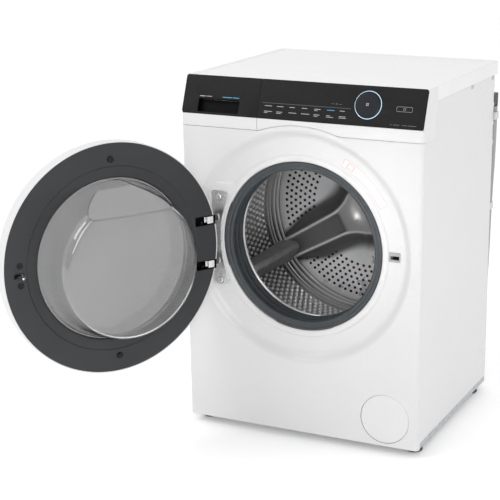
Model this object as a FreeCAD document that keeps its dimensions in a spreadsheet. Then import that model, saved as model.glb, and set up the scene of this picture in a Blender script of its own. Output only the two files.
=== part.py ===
"""Front load washing machine, built as a parametric document of separate pieces.

The row frame: origin on the floor at the centre of the cabinet's footprint, +Z up, +Y towards the rear,
+X to the right of somebody facing the machine.  All lengths are millimetres.  The door is stored open.
"""
import FreeCAD, Part
import math
import os
import re
import Sketcher
from FreeCAD import Placement, Rotation, Vector

SIZES = {
    # cabinet
    "width": 595, "height": 850, "front_y": -265, "rear_y": 237, "worktop_rear_y": 265,
    "base_z": 20, "steel": 1.2, "return_depth": 15, "worktop_z": 818,
    "bar_z": 800, "bar_depth": 20, "tray_rim": 14, "tray_thick": 2, "skirt_high": 12, "skirt_wide": 4,
    "screw_r": 5, "rear_reach": 5,
    # fascia, white band and arch
    "seam_z": 737, "fascia_z": 766, "fascia_lean": 33.5, "fascia_thick": 4, "split_x": -103, "split_gap": 1,
    "arch_half": 97, "arch_rise": 17, "arch_flat": 28, "band_thick": 3, "band_gap": 0.8,
    # porthole and recessed dish
    "port_z": 471.5, "dish_r": 273, "dish_depth": 16, "dish_slope": 10, "port_r": 199, "lip_r": 213,
    # drum, tub and drive
    "drum_r": 255.5, "drum_wall": 1, "drum_front": 88, "drum_rear": 425, "mouth_r": 184,
    "tub_r": 278, "tub_wall": 3, "tub_front": 70, "tub_split": 270, "tub_rear": 456, "neck_r": 189,
    "star_high": 24, "star_wide": 64, "lifter_high": 55, "shaft_r": 15, "bearing_r": 26, "bearing_wide": 14,
    "hub_r": 42, "run_gap": 0.05,
    "stator_r": 108, "rotor_r": 118, "rotor_gap": 4, "cover_r": 150, "cover_bulge": 10,
    "star_hub_r": 55, "weight_in_r": 207, "weight_out_r": 268, "block_left": -92, "block_right": 165,
    "block_front": 140, "block_back": 290, "block_low": 700,
    "spring_x": 205, "spring_y": 65, "spring_r": 11, "spring_low_z": 712, "sump_z": 264, "fill_x": -160,
    "fill_y": -35,
    "damper_x": 150, "damper_r": 14, "damper_rod_r": 5,
    # door, measured in its closed place
    "door_r": 265, "ring_r": 261, "door_face": 3, "door_thick": 45, "skin": 2.5, "window_r": 184,
    "pane_r": 204, "flange_r": 197, "bowl_deep": 98, "bowl_r": 156, "glass_wall": 4,
    "plate_half": 111, "plate_thick": 4, "plate_waist": 44, "plate_shoulder": 64,
    "hinge_x": -239.3, "hinge_in": -22.8, "hinge_foot_x": -212, "arm_z": 53, "arm_high": 14,
    "slot_high": 22, "slot_deep": 25, "pin_r": 3,
    "door_open": 120.7, "buffer_r": 227, "hook_x": 226, "hook_thick": 5,
    "cap_r": 7.5, "cap_up": 22, "lock_left": 214, "lock_right": 243, "lock_low": 461.5, "lock_high": 484,
    "lock_slot_half": 4.5,
    # filter
    "filter_x": 214.8, "filter_z": 86.7, "cover_disc_r": 59.2, "pump_r": 36, "filter_r": 25,
    "sump_depth": 140, "sump_hose_r": 24, "fill_hose_r": 16, "inlet_bore_r": 16, "impeller_r": 18,
    # drawer
    "drawer_left": -281, "drawer_right": -116, "drawer_low": 750, "drawer_high": 803, "drawer_back": 0,
    "drawer_wall": 2, "housing_gap": 3, "slot_left": -256, "slot_right": -152,
    "bay_left": 44, "bay_right": 52, "tray_front": 26,
    # dial and key
    "dial_x": 161.4, "dial_up": 47.5, "dial_r": 28.5, "light_r": 31.5, "dial_proud": 5,
    "key_x": 247, "key_up": 43.3, "key_wide": 38, "key_high": 12.6,
    # rear fittings
    "inlet_x": 200, "inlet_z": 770, "inlet_r": 13.2, "hose_r": 11, "hose_x": 288, "hose_y": 260,
    "foot_x": 270, "foot_front_y": -212, "foot_rear_y": 195, "foot_r": 20, "stud_r": 5,
    "bolt_x": 190, "bolt_z": 150, "bolt_hole_r": 9, "cord_x": -250, "cord_z": 120, "cuff_x": 44,
    "cuff_low": 668, "valve_half": 22,
}
SHEET = "Sizes"
STAR_ANGLES = (90, 210, 330)

doc = FreeCAD.newDocument("front_load_washer")
sheet = doc.addObject("Spreadsheet::Sheet", SHEET)
for row, (alias, number) in enumerate(SIZES.items(), start=1):
    sheet.set(f"A{row}", alias)
    sheet.set(f"B{row}", str(number))
    sheet.setAlias(f"B{row}", alias)
doc.recompute()

ALIAS = re.compile(r"\b(" + "|".join(sorted(SIZES, key=len, reverse=True)) + r")\b")
NODES = []


def formula(text):
    """An expression over the sheet's aliases, in the document's own syntax."""
    return ALIAS.sub(lambda found: f"{SHEET}.{found.group(1)}", str(text))


def value(text):
    """The number that an expression over the aliases gives."""
    return float(sheet.evalExpression(formula(text)))


def bind(item, **expressions):
    for prop, text in expressions.items():
        item.setExpression(prop.replace("__", "."), formula(text))
    return item


def place(item, x="0", y="0", z="0", rotation=None):
    """Put an item at a bound place, optionally turned."""
    if rotation is not None:
        item.Placement = Placement(Vector(), rotation)
    return bind(item, Placement__Base__x=x, Placement__Base__y=y, Placement__Base__z=z)


def node(item, label):
    """Declare a finished sub-part, whose label names its file."""
    item.Label = label
    NODES.append(item)
    return item


def box(x, y, z):
    """A block between the two bounds given for each axis."""
    item = doc.addObject("Part::Box", "Block")
    bind(item, Length=f"({x[1]}) - ({x[0]})", Width=f"({y[1]}) - ({y[0]})", Height=f"({z[1]}) - ({z[0]})")
    return place(item, x[0], y[0], z[0])


TURN = {"x": Rotation(Vector(0, 1, 0), 90), "y": Rotation(Vector(1, 0, 0), -90), "z": Rotation()}


def rod(axis, radius, start, end, across):
    """A cylinder along one axis, from start to end, centred across the other two axes in x, y, z order."""
    item = doc.addObject("Part::Cylinder", "Rod")
    bind(item, Radius=radius, Height=f"({end}) - ({start})")
    spot = dict(zip([name for name in "xyz" if name != axis], across))
    spot[axis] = start
    return place(item, spot["x"], spot["y"], spot["z"], TURN[axis])


def fuse(*items):
    item = doc.addObject("Part::MultiFuse", "Union")
    item.Shapes = list(items)
    return item


def cut(base, *tools):
    item = doc.addObject("Part::Cut", "Difference")
    item.Base = base
    item.Tool = tools[0] if len(tools) == 1 else fuse(*tools)
    return item


def tube(axis, outer, inner, start, end, across):
    return cut(rod(axis, outer, start, end, across), rod(axis, inner, f"({start}) - 1", f"({end}) + 1",
                                                         across))


def outline(body, plane, points):
    """A closed sketch whose corners are all bound to the sheet."""
    sketch = body.newObject("Sketcher::SketchObject", "Outline")
    origin_plane = next(item for item in body.Origin.OriginFeatures if item.Role == plane)
    sketch.AttachmentSupport = [(origin_plane, "")]
    sketch.MapMode = "FlatFace"
    spots = [Vector(value(across), value(up), 0) for across, up in points]
    last = len(spots) - 1
    for index, spot in enumerate(spots):
        sketch.addGeometry(Part.LineSegment(spot, spots[0 if index == last else index + 1]), False)
    for index in range(len(spots)):
        sketch.addConstraint(Sketcher.Constraint("Coincident", index, 2, 0 if index == last else index + 1,
                                                 1))
    for index, (across, up) in enumerate(points):
        for kind, text, start in (("DistanceX", across, spots[index].x), ("DistanceY", up, spots[index].y)):
            number = sketch.addConstraint(Sketcher.Constraint(kind, -1, 1, index, 1, start))
            sketch.setExpression(f"Constraints[{number}]", formula(text))
    return sketch


def new_body():
    return doc.addObject("PartDesign::Body", "Body")


def revolved(points, x="0", y="front_y", z="port_z"):
    """A ring about an axis along Y; each corner is (distance behind the front plane, radius)."""
    body = new_body()
    sketch = outline(body, "YZ_Plane", points)
    turn = body.newObject("PartDesign::Revolution", "Turned")
    turn.Profile = (sketch, [""])
    turn.ReferenceAxis = (sketch, ["H_Axis"])
    turn.Angle = 360
    return place(body, x, y, z)


def extruded(plane, points, length, x="0", y="0", z="0"):
    """A padded outline: along +X from a YZ outline, or +Z from an XY outline."""
    body = new_body()
    sketch = outline(body, plane, points)
    pad = body.newObject("PartDesign::Pad", "Padded")
    pad.Profile = (sketch, [""])
    bind(pad, Length=length)
    return place(body, x, y, z)


def behind(distance):
    """The Y place a distance behind the front plane."""
    return f"front_y + ({distance})"


FACE_LEAN = math.degrees(math.atan2(value("fascia_lean"), value("height - fascia_z")))
FACE_TURN = Rotation(Vector(1, 0, 0), 90 - FACE_LEAN)
FACE_SLOPE = "sqrt(pow(fascia_lean; 2) + pow(height - fascia_z; 2))"


def on_face(item, x, up, out):
    """Put an item whose own +Z is the fascia's normal at a distance up the sloping face and out of it."""
    y = f"front_y + (({up}) * fascia_lean - ({out}) * (height - fascia_z)) / {FACE_SLOPE}"
    z = f"fascia_z + (({up}) * (height - fascia_z) + ({out}) * fascia_lean) / {FACE_SLOPE}"
    return place(item, x, y, z, FACE_TURN)


def face_cylinder(radius, length, x, up, out):
    item = doc.addObject("Part::Cylinder", "Rod")
    bind(item, Radius=radius, Height=length)
    return on_face(item, x, up, out)


def face_block(wide, high, length, x, up, out):
    item = doc.addObject("Part::Box", "Block")
    bind(item, Length=wide, Width=high, Height=length)
    return on_face(item, f"{x} - ({wide}) / 2", f"({up}) - ({high}) / 2", out)


# ---------------------------------------------------------------- cabinet

def side_panel(label, inner, outer, sign, brow):
    """A side sheet with its rear fold; brow holds the two corners that follow the back of the fascia."""
    edge = [("front_y + return_depth", "base_z"), ("front_y + return_depth", "fascia_z")] + brow
    edge += [("rear_y", "worktop_z"), ("rear_y", "base_z")]
    skin = extruded("YZ_Plane", edge, "steel", x=inner)
    edge = sorted([f"{sign} * (width / 2 - 16)", inner if sign > 0 else outer], key=value)
    flange = box(edge, ("rear_y - steel * 2", "rear_y - steel"), ("base_z", "worktop_z"))
    return node(fuse(skin, flange), label)


side_panel("side_panel_left", "-width / 2", "steel - width / 2", -1,
           [("front_y + 27", "fascia_z"), ("front_y + 30.5", "worktop_z")])
side_panel("side_panel_right", "width / 2 - steel", "width / 2", 1,
           [("front_y + fascia_thick + 3", "fascia_z"), ("front_y + fascia_lean * 0.78", "worktop_z")])


def arch_points(lift):
    """The arched stretch of the seam, left to right, lifted by a gap."""
    return [("-arch_half", f"seam_z + {lift}"), ("-arch_flat * 2", f"seam_z + arch_rise * 0.72 + {lift}"),
            ("-arch_flat / 2", f"seam_z + arch_rise + {lift}"),
            ("arch_flat / 2", f"seam_z + arch_rise + {lift}"),
            ("arch_flat * 2", f"seam_z + arch_rise * 0.5 + {lift}"), ("arch_half", f"seam_z + {lift}")]


def front_panel():
    """Pressed front: a plate with an arched top edge, a dished ring round the porthole and folded sides."""
    edge = [("-width / 2", "base_z"), ("-width / 2", "seam_z")] + arch_points("0")
    edge += [("width / 2", "seam_z"), ("width / 2", "base_z")]
    body = new_body()
    sketch = outline(body, "XZ_Plane", edge)
    pad = body.newObject("PartDesign::Pad", "Plate")
    pad.Profile = (sketch, [""])
    pad.Reversed = True
    bind(pad, Length="steel")
    place(body, y="front_y")
    plate = cut(body, rod("y", "dish_r - 0.5", behind(-5), behind(10), ("0", "port_z")),
                rod("y", "cover_disc_r + 0.8", behind(-5), behind(10), ("filter_x", "filter_z")))
    wall = "steel"
    dish = revolved([("0", "dish_r"), ("dish_depth * 0.5", "dish_r - 7"),
                     ("dish_depth * 0.88", "dish_r - 14"),
                     ("dish_depth", "dish_r - dish_slope - 9"), ("dish_depth", "lip_r"),
                     ("dish_depth - 3", "lip_r - 4"), ("dish_depth - 3", "port_r + 4"),
                     ("dish_depth + 2", "port_r"),
                     ("dish_depth + 10", "port_r"), ("dish_depth + 10", f"port_r + {wall}"),
                     (f"dish_depth + {wall}", "port_r + 5"),
                     (f"dish_depth + {wall}", "dish_r - dish_slope - 8"),
                     (f"dish_depth * 0.88 + {wall}", "dish_r - 12.5"),
                     (f"dish_depth * 0.5 + {wall}", "dish_r - 5.5"),
                     (wall, "dish_r")])
    lock_hole = box(("lock_left - 0.5", "lock_right + 0.5"), (behind(8), behind(24)),
                    ("lock_low - 0.5", "lock_high + 0.5"))
    sides = [box(span, (behind(0), behind("return_depth")), ("base_z", "seam_z"))
             for span in (("-width / 2", "steel - width / 2"), ("width / 2 - steel", "width / 2"))]
    foot_lip = box(("-width / 2", "width / 2"), (behind(0), behind("return_depth")),
                   ("base_z", "base_z + steel"))
    return node(cut(fuse(plate, dish, foot_lip, *sides), lock_hole), "front_panel")


front_panel()


def rear_panel():
    plate = box(("steel - width / 2", "width / 2 - steel"), ("rear_y - steel", "rear_y"),
                ("base_z", "worktop_z"))
    holes = [rod("y", "cover_r - 12", "rear_y - rear_reach", "rear_y + rear_reach", ("0", "port_z")),
             rod("y", "inlet_r + 3", "rear_y - rear_reach", "rear_y + rear_reach", ("inlet_x", "inlet_z")),
             rod("y", "9", "rear_y - rear_reach", "rear_y + rear_reach", ("cord_x", "cord_z"))]
    for side in (-1, 1):
        for level in (-1, 1):
            spot = (f"{side} * bolt_x", f"port_z + {level} * bolt_z")
            holes.append(rod("y", "bolt_hole_r", "rear_y - rear_reach", "rear_y + rear_reach", spot))
    return node(cut(plate, *holes), "rear_panel")


rear_panel()
node(revolved([("0", "cover_r + 10"), ("1.5", "cover_r + 10"), ("1.5", "cover_r"),
               ("cover_bulge", "cover_r - 14"),
               ("cover_bulge", "0.01"), ("cover_bulge - 1.5", "0.01"), ("cover_bulge - 1.5", "cover_r - 15"),
               ("0", "cover_r - 2")], y="rear_y"), "rear_service_cover")


def base_tray():
    x = ("steel - width / 2", "width / 2 - steel")
    y = ("front_y + return_depth", "rear_y - steel * 2")
    floor = box(x, y, ("base_z", "base_z + tray_thick"))
    rims = [box((x[0], f"{x[0]} + tray_thick"), y, ("base_z", "base_z + tray_rim")),
            box((f"{x[1]} - tray_thick", x[1]), y, ("base_z", "base_z + tray_rim")),
            box(x, (y[0], f"{y[0]} + tray_thick"), ("base_z", "base_z + tray_rim")),
            box(x, (f"{y[1]} - tray_thick", y[1]), ("base_z", "base_z + tray_rim"))]
    holes = [rod("z", "stud_r + 0.5", "base_z - 5", "base_z + 8", (f"{side} * foot_x", depth))
             for side in (-1, 1) for depth in ("foot_front_y", "foot_rear_y")]
    return node(cut(fuse(floor, *rims), *holes), "base_tray")


base_tray()


def feet():
    pads, nuts = [], []
    for side in (-1, 1):
        for depth in ("foot_front_y", "foot_rear_y"):
            spot = (f"{side} * foot_x", depth)
            pads.append(fuse(rod("z", "foot_r", "0", "10", spot),
                             rod("z", "stud_r", "10", "base_z + 12", spot)))
            nuts.append(tube("z", "stud_r + 4", "stud_r", "base_z + 2", "base_z + 8", spot))
    node(fuse(*pads), "levelling_feet")
    node(fuse(*nuts), "foot_lock_nuts")


feet()


def worktop():
    """Laminated top board with its moulded edge, closed at the front by the fascia's top edge."""
    front = "front_y + fascia_lean"
    board = box(("-width / 2", "width / 2"), (f"{front} + 0.6", "worktop_rear_y"),
                ("worktop_z + skirt_high", "height"))
    skirts = [box(span, (f"{front} + 6", "worktop_rear_y"), ("worktop_z", "worktop_z + skirt_high"))
              for span in (("-width / 2", "skirt_wide - width / 2"),
                           ("width / 2 - skirt_wide", "width / 2"))]
    rear = box(("-width / 2", "width / 2"), ("worktop_rear_y - 4", "worktop_rear_y"),
               ("worktop_z", "worktop_z + skirt_high"))
    return node(fuse(board, rear, *skirts), "worktop")


worktop()
BAR_X = ("steel - width / 2", "width / 2 - steel")
node(fuse(box(BAR_X, ("front_y + 38", "front_y + 38 + bar_depth"), ("bar_z + 8", "worktop_z")),
          box(BAR_X, ("spring_y - bar_depth / 2", "spring_y + bar_depth / 2"), ("bar_z + 8", "worktop_z")),
          box(BAR_X, ("rear_y - 4 - bar_depth", "rear_y - 4"), ("bar_z + 8", "worktop_z"))), "cross_bars")


def cabinet_screws():
    """Screw heads on the rear panel, the service cover and the hinge plate, as separate pieces."""
    heads = []
    for side in (-1, 1):
        for level in ("60", "300", "540", "800"):
            heads.append(rod("y", "screw_r", "rear_y", "rear_y + 2.5",
                             (f"{side} * (width / 2 - 10)", level)))
        for level in (-1, 1):
            spot = (f"{side} * (cover_r + 5) * cos(45)", f"port_z + {level} * (cover_r + 5) * sin(45)")
            heads.append(rod("y", "3.5", "rear_y + 1.5", "rear_y + 3.5", spot))
    for level in (-1, 1):
        spot = ("-213", f"port_z + {level} * 100")
        heads.append(rod("y", "screw_r", behind("dish_depth - plate_thick - 2"),
                         behind("dish_depth - plate_thick"), spot))
    return node(fuse(*heads), "cabinet_screws")


cabinet_screws()

# ---------------------------------------------------------------- fascia, dial and key


def sloping_slab(left, right, back):
    """A slab whose front is the sloping face of the fascia; back holds the corners behind it, top first."""
    points = [("front_y", "fascia_z"), ("front_y + fascia_lean", "height")] + back
    return extruded("YZ_Plane", points, f"({right}) - ({left})", x=left)


def fascia_panel():
    slab = sloping_slab("split_x + split_gap / 2", "width / 2",
                        [("front_y + fascia_lean + fascia_thick / 8", "height"),
                         ("front_y + fascia_lean + fascia_thick / 8", "height - 6"),
                         ("front_y + fascia_thick + 2", "fascia_z")])
    dial_seat = face_cylinder("light_r", "20", "dial_x", "dial_up", "-10")
    key_seat = face_block("key_wide + 0.8", "key_high + 0.8", "20", "key_x", "key_up", "-10")
    return node(cut(slab, dial_seat, key_seat), "fascia_panel")


fascia_panel()
node(cut(face_cylinder("light_r", "3", "dial_x", "dial_up", "-2.6"),
         face_cylinder("dial_r + 0.6", "9", "dial_x", "dial_up", "-5")), "dial_light_ring")
node(fuse(face_cylinder("dial_r", "dial_proud + 2", "dial_x", "dial_up", "-2"),
          face_cylinder("4", "11", "dial_x", "dial_up", "-13")), "program_dial")
node(face_block("key_wide", "key_high", "4", "key_x", "key_up", "-3.6"), "power_key")


def control_carrier():
    """White moulded band under the fascia, arched over the porthole, with the shelf for the board."""
    left = "split_x + split_gap / 2"
    edge = [(left, "seam_z + band_gap")] + arch_points("band_gap")
    edge += [("width / 2", "seam_z + band_gap"), ("width / 2", "fascia_z"), (left, "fascia_z")]
    body = new_body()
    sketch = outline(body, "XZ_Plane", edge)
    pad = body.newObject("PartDesign::Pad", "Band")
    pad.Profile = (sketch, [""])
    pad.Reversed = True
    bind(pad, Length="band_thick")
    place(body, y="front_y")
    shelf = box((left, "width / 2 - steel"), (behind("band_thick"), behind(40)),
                ("fascia_z - 3", "fascia_z"))
    cheek = box(("width / 2 - steel", "width / 2"), (behind(0), behind("return_depth")),
                ("seam_z + band_gap", "fascia_z"))
    back = box((left, "width / 2 - steel"), (behind(37), behind(40)), ("fascia_z", "bar_z + 2"))
    return node(fuse(body, shelf, cheek, back), "control_carrier")


control_carrier()
node(box(("-60", "280"), (behind(31), behind(33)), ("fascia_z + 2", "bar_z")), "control_board")

# ---------------------------------------------------------------- detergent drawer


def drawer():
    left = "-width / 2"
    right = "split_x - split_gap / 2"
    slab = sloping_slab(left, right,
                        [("front_y + fascia_lean + fascia_thick / 8", "height"),
                         ("front_y + fascia_lean + fascia_thick / 8", "height - 10"),
                         (behind("tray_front"), "drawer_high"),
                         (behind("tray_front"), "fascia_z + 0.2")])
    recess = face_block("slot_right - slot_left", "31.5", "19", "(slot_left + slot_right) / 2", "21", "-15")
    node(cut(slab, recess), "drawer_front")
    band = box((left, right), (behind(0), behind("band_thick")), ("seam_z + band_gap", "fascia_z"))
    ledge = box(("drawer_left", "drawer_right"), (behind(0), behind("tray_front")),
                ("drawer_low", "drawer_low + 3"))
    rib = box(("drawer_left", "drawer_right"), (behind("band_thick - 1"), behind("tray_front")),
              ("fascia_z - 3", "fascia_z"))
    node(fuse(band, ledge, rib), "drawer_trim")
    outer = box(("drawer_left", "drawer_right"), (behind("tray_front"), "drawer_back"),
                ("drawer_low", "drawer_high"))
    wall = "drawer_wall"
    bays = []
    for start, end in (("drawer_left", "drawer_left + bay_left"),
                       ("drawer_left + bay_left", "drawer_right - bay_right"),
                       ("drawer_right - bay_right", "drawer_right")):
        bays.append(box((f"{start} + {wall}", f"{end} - {wall}"),
                        (behind("tray_front + drawer_wall"), f"drawer_back - {wall}"),
                        (f"drawer_low + {wall}", "drawer_high + 5")))
    node(cut(outer, *bays), "drawer_tray")
    cap = box(("drawer_right - 50 + 0.4", "drawer_right - 2.4"), ("drawer_back - 100", "drawer_back - 2.4"),
              ("drawer_high - 8", "drawer_high - 5"))
    stem = rod("z", "9", "drawer_low + 6", "drawer_high - 8", ("drawer_right - 26", "drawer_back - 40"))
    node(fuse(cap, stem), "softener_insert")


drawer()


def dispenser_housing():
    inner = (("drawer_left - housing_gap", "drawer_right + housing_gap"), (behind(20), "drawer_back + 14"),
             ("drawer_low - 2", "drawer_high + 3"))
    outer = (("drawer_left - 2 - housing_gap", "drawer_right + 2 + housing_gap"),
             (behind(28), "drawer_back + 16"),
             ("drawer_low - 4", "drawer_high + 5"))
    shell = cut(box(*outer), box(*inner))
    outlet = tube("z", "16", "13", "drawer_low - 12", "drawer_low - 3", ("fill_x", "fill_y"))
    return node(fuse(shell, outlet), "dispenser_housing")


dispenser_housing()

# ---------------------------------------------------------------- tub, drum and drive

node(fuse(revolved([("tub_front - 14", "neck_r"), ("tub_front - 14", "neck_r + 3"),
                    ("tub_front", "neck_r + 6"),
                    ("tub_front", "tub_r"), ("tub_split", "tub_r"), ("tub_split", "tub_r - tub_wall"),
                    ("tub_front + tub_wall", "tub_r - tub_wall"), ("tub_front + tub_wall", "neck_r")]),
          cut(rod("z", "22", "sump_z", "312", ("filter_x", behind("sump_depth"))),
              rod("y", "tub_r - 1", behind(90), behind(200), ("0", "port_z"))),
          cut(rod("z", "12", "680", "713", ("fill_x", "fill_y")),
              rod("y", "tub_r - 1", behind(190), behind(260), ("0", "port_z")))), "tub_front")


def tub_rear():
    bowl = revolved([("tub_split", "tub_r"), ("tub_rear", "tub_r"), ("tub_rear", "hub_r"),
                     ("tub_rear + 8", "hub_r"),
                     ("tub_rear + 8", "bearing_r"), ("tub_rear - 28", "bearing_r"),
                     ("tub_rear - 28", "hub_r - 8"),
                     ("tub_rear - 5", "hub_r + 10"), ("tub_rear - 5", "tub_r - tub_wall"),
                     ("tub_split", "tub_r - tub_wall")])
    lugs = []
    for side in (-1, 1):
        span = sorted([f"{side} * (spring_x - 14)", f"{side} * (spring_x + 14)"], key=value)
        lugs.append(box(span, ("spring_y - 6", "spring_y + 6"), ("620", "spring_low_z")))
        span = sorted([f"{side} * (damper_x - 12)", f"{side} * (damper_x + 12)"], key=value)
        lugs.append(box(span, (behind("tub_split + 2"), behind("tub_split + 20")), ("206", "270")))
    hollow = rod("y", "tub_r - tub_wall", behind("tub_split - 20"), behind("tub_rear - 5"), ("0", "port_z"))
    trimmed = cut(fuse(*lugs), hollow)
    return node(fuse(bowl, trimmed), "tub_rear")


tub_rear()


def counterweights():
    """Cast blocks on the tub: one half ring above and one below the porthole neck."""
    ring = revolved([("tub_front - 30", "weight_in_r"), ("tub_front - 30", "weight_out_r"),
                     ("tub_front - 0.4", "weight_out_r"),
                     ("tub_front - 0.4", "weight_in_r")])
    gap = box(("-300", "300"), (behind("tub_front - 35"), behind("tub_front + 5")),
              ("port_z - 45", "port_z + 45"))
    node(cut(ring, gap), "front_counterweight")
    block = box(("block_left", "block_right"), (behind("block_front"), behind("block_back")),
                ("block_low", "bar_z - 4"))
    saddle = rod("y", "tub_r + 0.4", behind("block_front - 20"), behind("block_back + 20"), ("0", "port_z"))
    node(cut(block, saddle), "top_counterweight")


counterweights()
node(fuse(tube("y", "bearing_r", "shaft_r + run_gap", behind("tub_rear - 26"),
               behind("tub_rear - 26 + bearing_wide"),
               ("0", "port_z")),
          tube("y", "bearing_r", "shaft_r + run_gap", behind("tub_rear + 7 - bearing_wide"),
               behind("tub_rear + 7"),
               ("0", "port_z"))), "bearings")


def stator():
    core = tube("y", "stator_r - 34", "hub_r + 1", behind("tub_rear + 0.2"), behind("tub_rear + 18"),
                ("0", "port_z"))
    teeth = []
    count = 12
    for index in range(count):
        angle = 2 * math.pi * index / count
        reach = "(stator_r - 12)"
        spot = (f"{reach} * {math.cos(angle):.5f}", f"port_z + {reach} * {math.sin(angle):.5f}")
        teeth.append(rod("y", "11", behind("tub_rear + 4"), behind("tub_rear + 18"), spot))
    yoke = tube("y", "stator_r - 12", "stator_r - 36", behind("tub_rear + 8"), behind("tub_rear + 14"),
                ("0", "port_z"))
    return node(fuse(core, yoke, *teeth), "motor_stator")


stator()
node(revolved([("tub_rear + 2", "rotor_r"), ("tub_rear + 30", "rotor_r"), ("tub_rear + 30", "shaft_r"),
               ("tub_rear + 26", "shaft_r"), ("tub_rear + 26", "rotor_r - rotor_gap"),
               ("tub_rear + 2", "rotor_r - rotor_gap")]), "motor_rotor")
node(fuse(rod("y", "shaft_r", behind("drum_rear + 2"), behind("tub_rear + 32"), ("0", "port_z")),
          rod("y", "9", behind("tub_rear + 32"), behind("tub_rear + 38"), ("0", "port_z"))), "drum_shaft")
node(revolved([("drum_front", "mouth_r"), ("drum_front - 3", "mouth_r + 4"),
               ("drum_front + 4", "drum_r - 8"),
               ("drum_front + 12", "drum_r"), ("drum_rear", "drum_r"), ("drum_rear", "drum_r - drum_wall"),
               ("drum_front + 12", "drum_r - drum_wall"), ("drum_front + 5", "drum_r - 9"),
               ("drum_front + 1", "mouth_r + 5"), ("drum_front + 3", "mouth_r")]), "drum_shell")


def star_arm(angle, wide, reach, low, high):
    """One radial block of the star, standing on the drum's rear wall."""
    arm = doc.addObject("Part::Box", "Arm")
    bind(arm, Length=reach, Width=f"({high}) - ({low})", Height=wide)
    arm.Placement = Placement(Vector(), Rotation(Vector(0, 1, 0), -angle))
    across = f"({wide}) / 2 * {math.sin(math.radians(angle)):.5f}"
    up = f"port_z - ({wide}) / 2 * {math.cos(math.radians(angle)):.5f}"
    return bind(arm, Placement__Base__x=across, Placement__Base__y=behind(low), Placement__Base__z=up)


def drum_back():
    """Rear wall of the drum, pressed into a hollow three-armed star that stiffens it."""
    wall = revolved([("drum_rear - 1.5", "0.01"), ("drum_rear - 1.5", "drum_r - drum_wall"),
                     ("drum_rear", "drum_r - drum_wall"), ("drum_rear", "0.01")])
    face = "drum_rear - star_high"
    hub = rod("y", "star_hub_r", behind(face), behind("drum_rear - 1"), ("0", "port_z"))
    hub_hollow = rod("y", "star_hub_r - 2", behind(f"{face} + 2"), behind("drum_rear + 1"), ("0", "port_z"))
    arms = [star_arm(angle, "star_wide", "drum_r - 12", face, "drum_rear - 1") for angle in STAR_ANGLES]
    hollows = [star_arm(angle, "star_wide - 4", "drum_r - 14", f"{face} + 2", "drum_rear + 1")
               for angle in STAR_ANGLES]
    socket = rod("y", "shaft_r + 8", behind(f"{face} + 1"), behind("drum_rear + 2"), ("0", "port_z"))
    return node(fuse(cut(fuse(wall, hub, *arms), hub_hollow, *hollows), socket), "drum_back")


drum_back()


def paddle(angle, points, start, end):
    """A radial block of one lifter, from an outline of (distance from the drum's axis, half width)."""
    body = new_body()
    sketch = outline(body, "XZ_Plane", points)
    pad = body.newObject("PartDesign::Pad", "Paddle")
    pad.Profile = (sketch, [""])
    pad.Reversed = True
    bind(pad, Length=f"({end}) - ({start})")
    body.Placement = Placement(Vector(), Rotation(Vector(0, 1, 0), -angle))
    return bind(body, Placement__Base__y=behind(start), Placement__Base__z="port_z")


def lifters():
    """Three hollow paddles on the drum's wall, in line with the star's arms."""
    paddles = []
    base, crest = "drum_r - drum_wall - 1.6", "drum_r - lifter_high"
    for angle in STAR_ANGLES:
        outer = paddle(angle, [(base, "-24"), (base, "24"), (crest, "9"), (crest, "-9")],
                       "drum_front + 25", "drum_rear - 35")
        hollow = paddle(angle, [("drum_r + 5", "-23"), ("drum_r + 5", "23"), (f"{crest} + 2", "7"),
                                (f"{crest} + 2", "-7")], "drum_front + 27", "drum_rear - 37")
        paddles.append(cut(outer, hollow))
    return node(fuse(*paddles), "drum_lifters")


lifters()


def suspension():
    springs, cylinders, rods = [], [], []
    for side in (-1, 1):
        spot = (f"{side} * spring_x", "spring_y")
        springs.append(tube("z", "spring_r", "spring_r - 3", "spring_low_z", "bar_z + 8", spot))
        spot = (f"{side} * damper_x", behind("tub_split + 11"))
        cylinders.append(cut(rod("z", "damper_r", "base_z + 2", "150", spot),
                             rod("z", "damper_rod_r + run_gap", "70", "151", spot)))
        rods.append(rod("z", "damper_rod_r", "84", "206", spot))
    node(fuse(*springs), "suspension_springs")
    node(fuse(*cylinders), "damper_cylinders")
    node(fuse(*rods), "damper_rods")


suspension()
node(revolved([("dish_depth + 10", "port_r - 0.6"), ("dish_depth + 1", "port_r - 0.6"),
               ("dish_depth - 1", "port_r - 2"),
               ("dish_depth + 1", "181"), ("dish_depth + 6", "178.5"), ("dish_depth + 12", "179"),
               ("dish_depth + 24", "179.5"), ("dish_depth + 34", "182"), ("dish_depth + 42", "178.5"),
               ("tub_front - 5", "178.5"), ("tub_front + 6", "neck_r - 6"),
               ("tub_front + 6", "neck_r - 0.4"),
               ("tub_front - 14", "neck_r - 0.4"), ("tub_front - 17", "184"), ("dish_depth + 34", "188"),
               ("dish_depth + 24", "184"), ("dish_depth + 14", "184"), ("dish_depth + 10", "186")]),
               "door_gasket")
node(tube("z", "sump_hose_r", "sump_hose_r - 3.8", "filter_z + pump_r", "sump_z",
          ("filter_x", behind("sump_depth"))), "sump_hose")
node(tube("z", "fill_hose_r", "fill_hose_r - 3.8", "713", "drawer_low - 12", ("fill_x", "fill_y")),
     "fill_hose")

# ---------------------------------------------------------------- pump and filter

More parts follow.
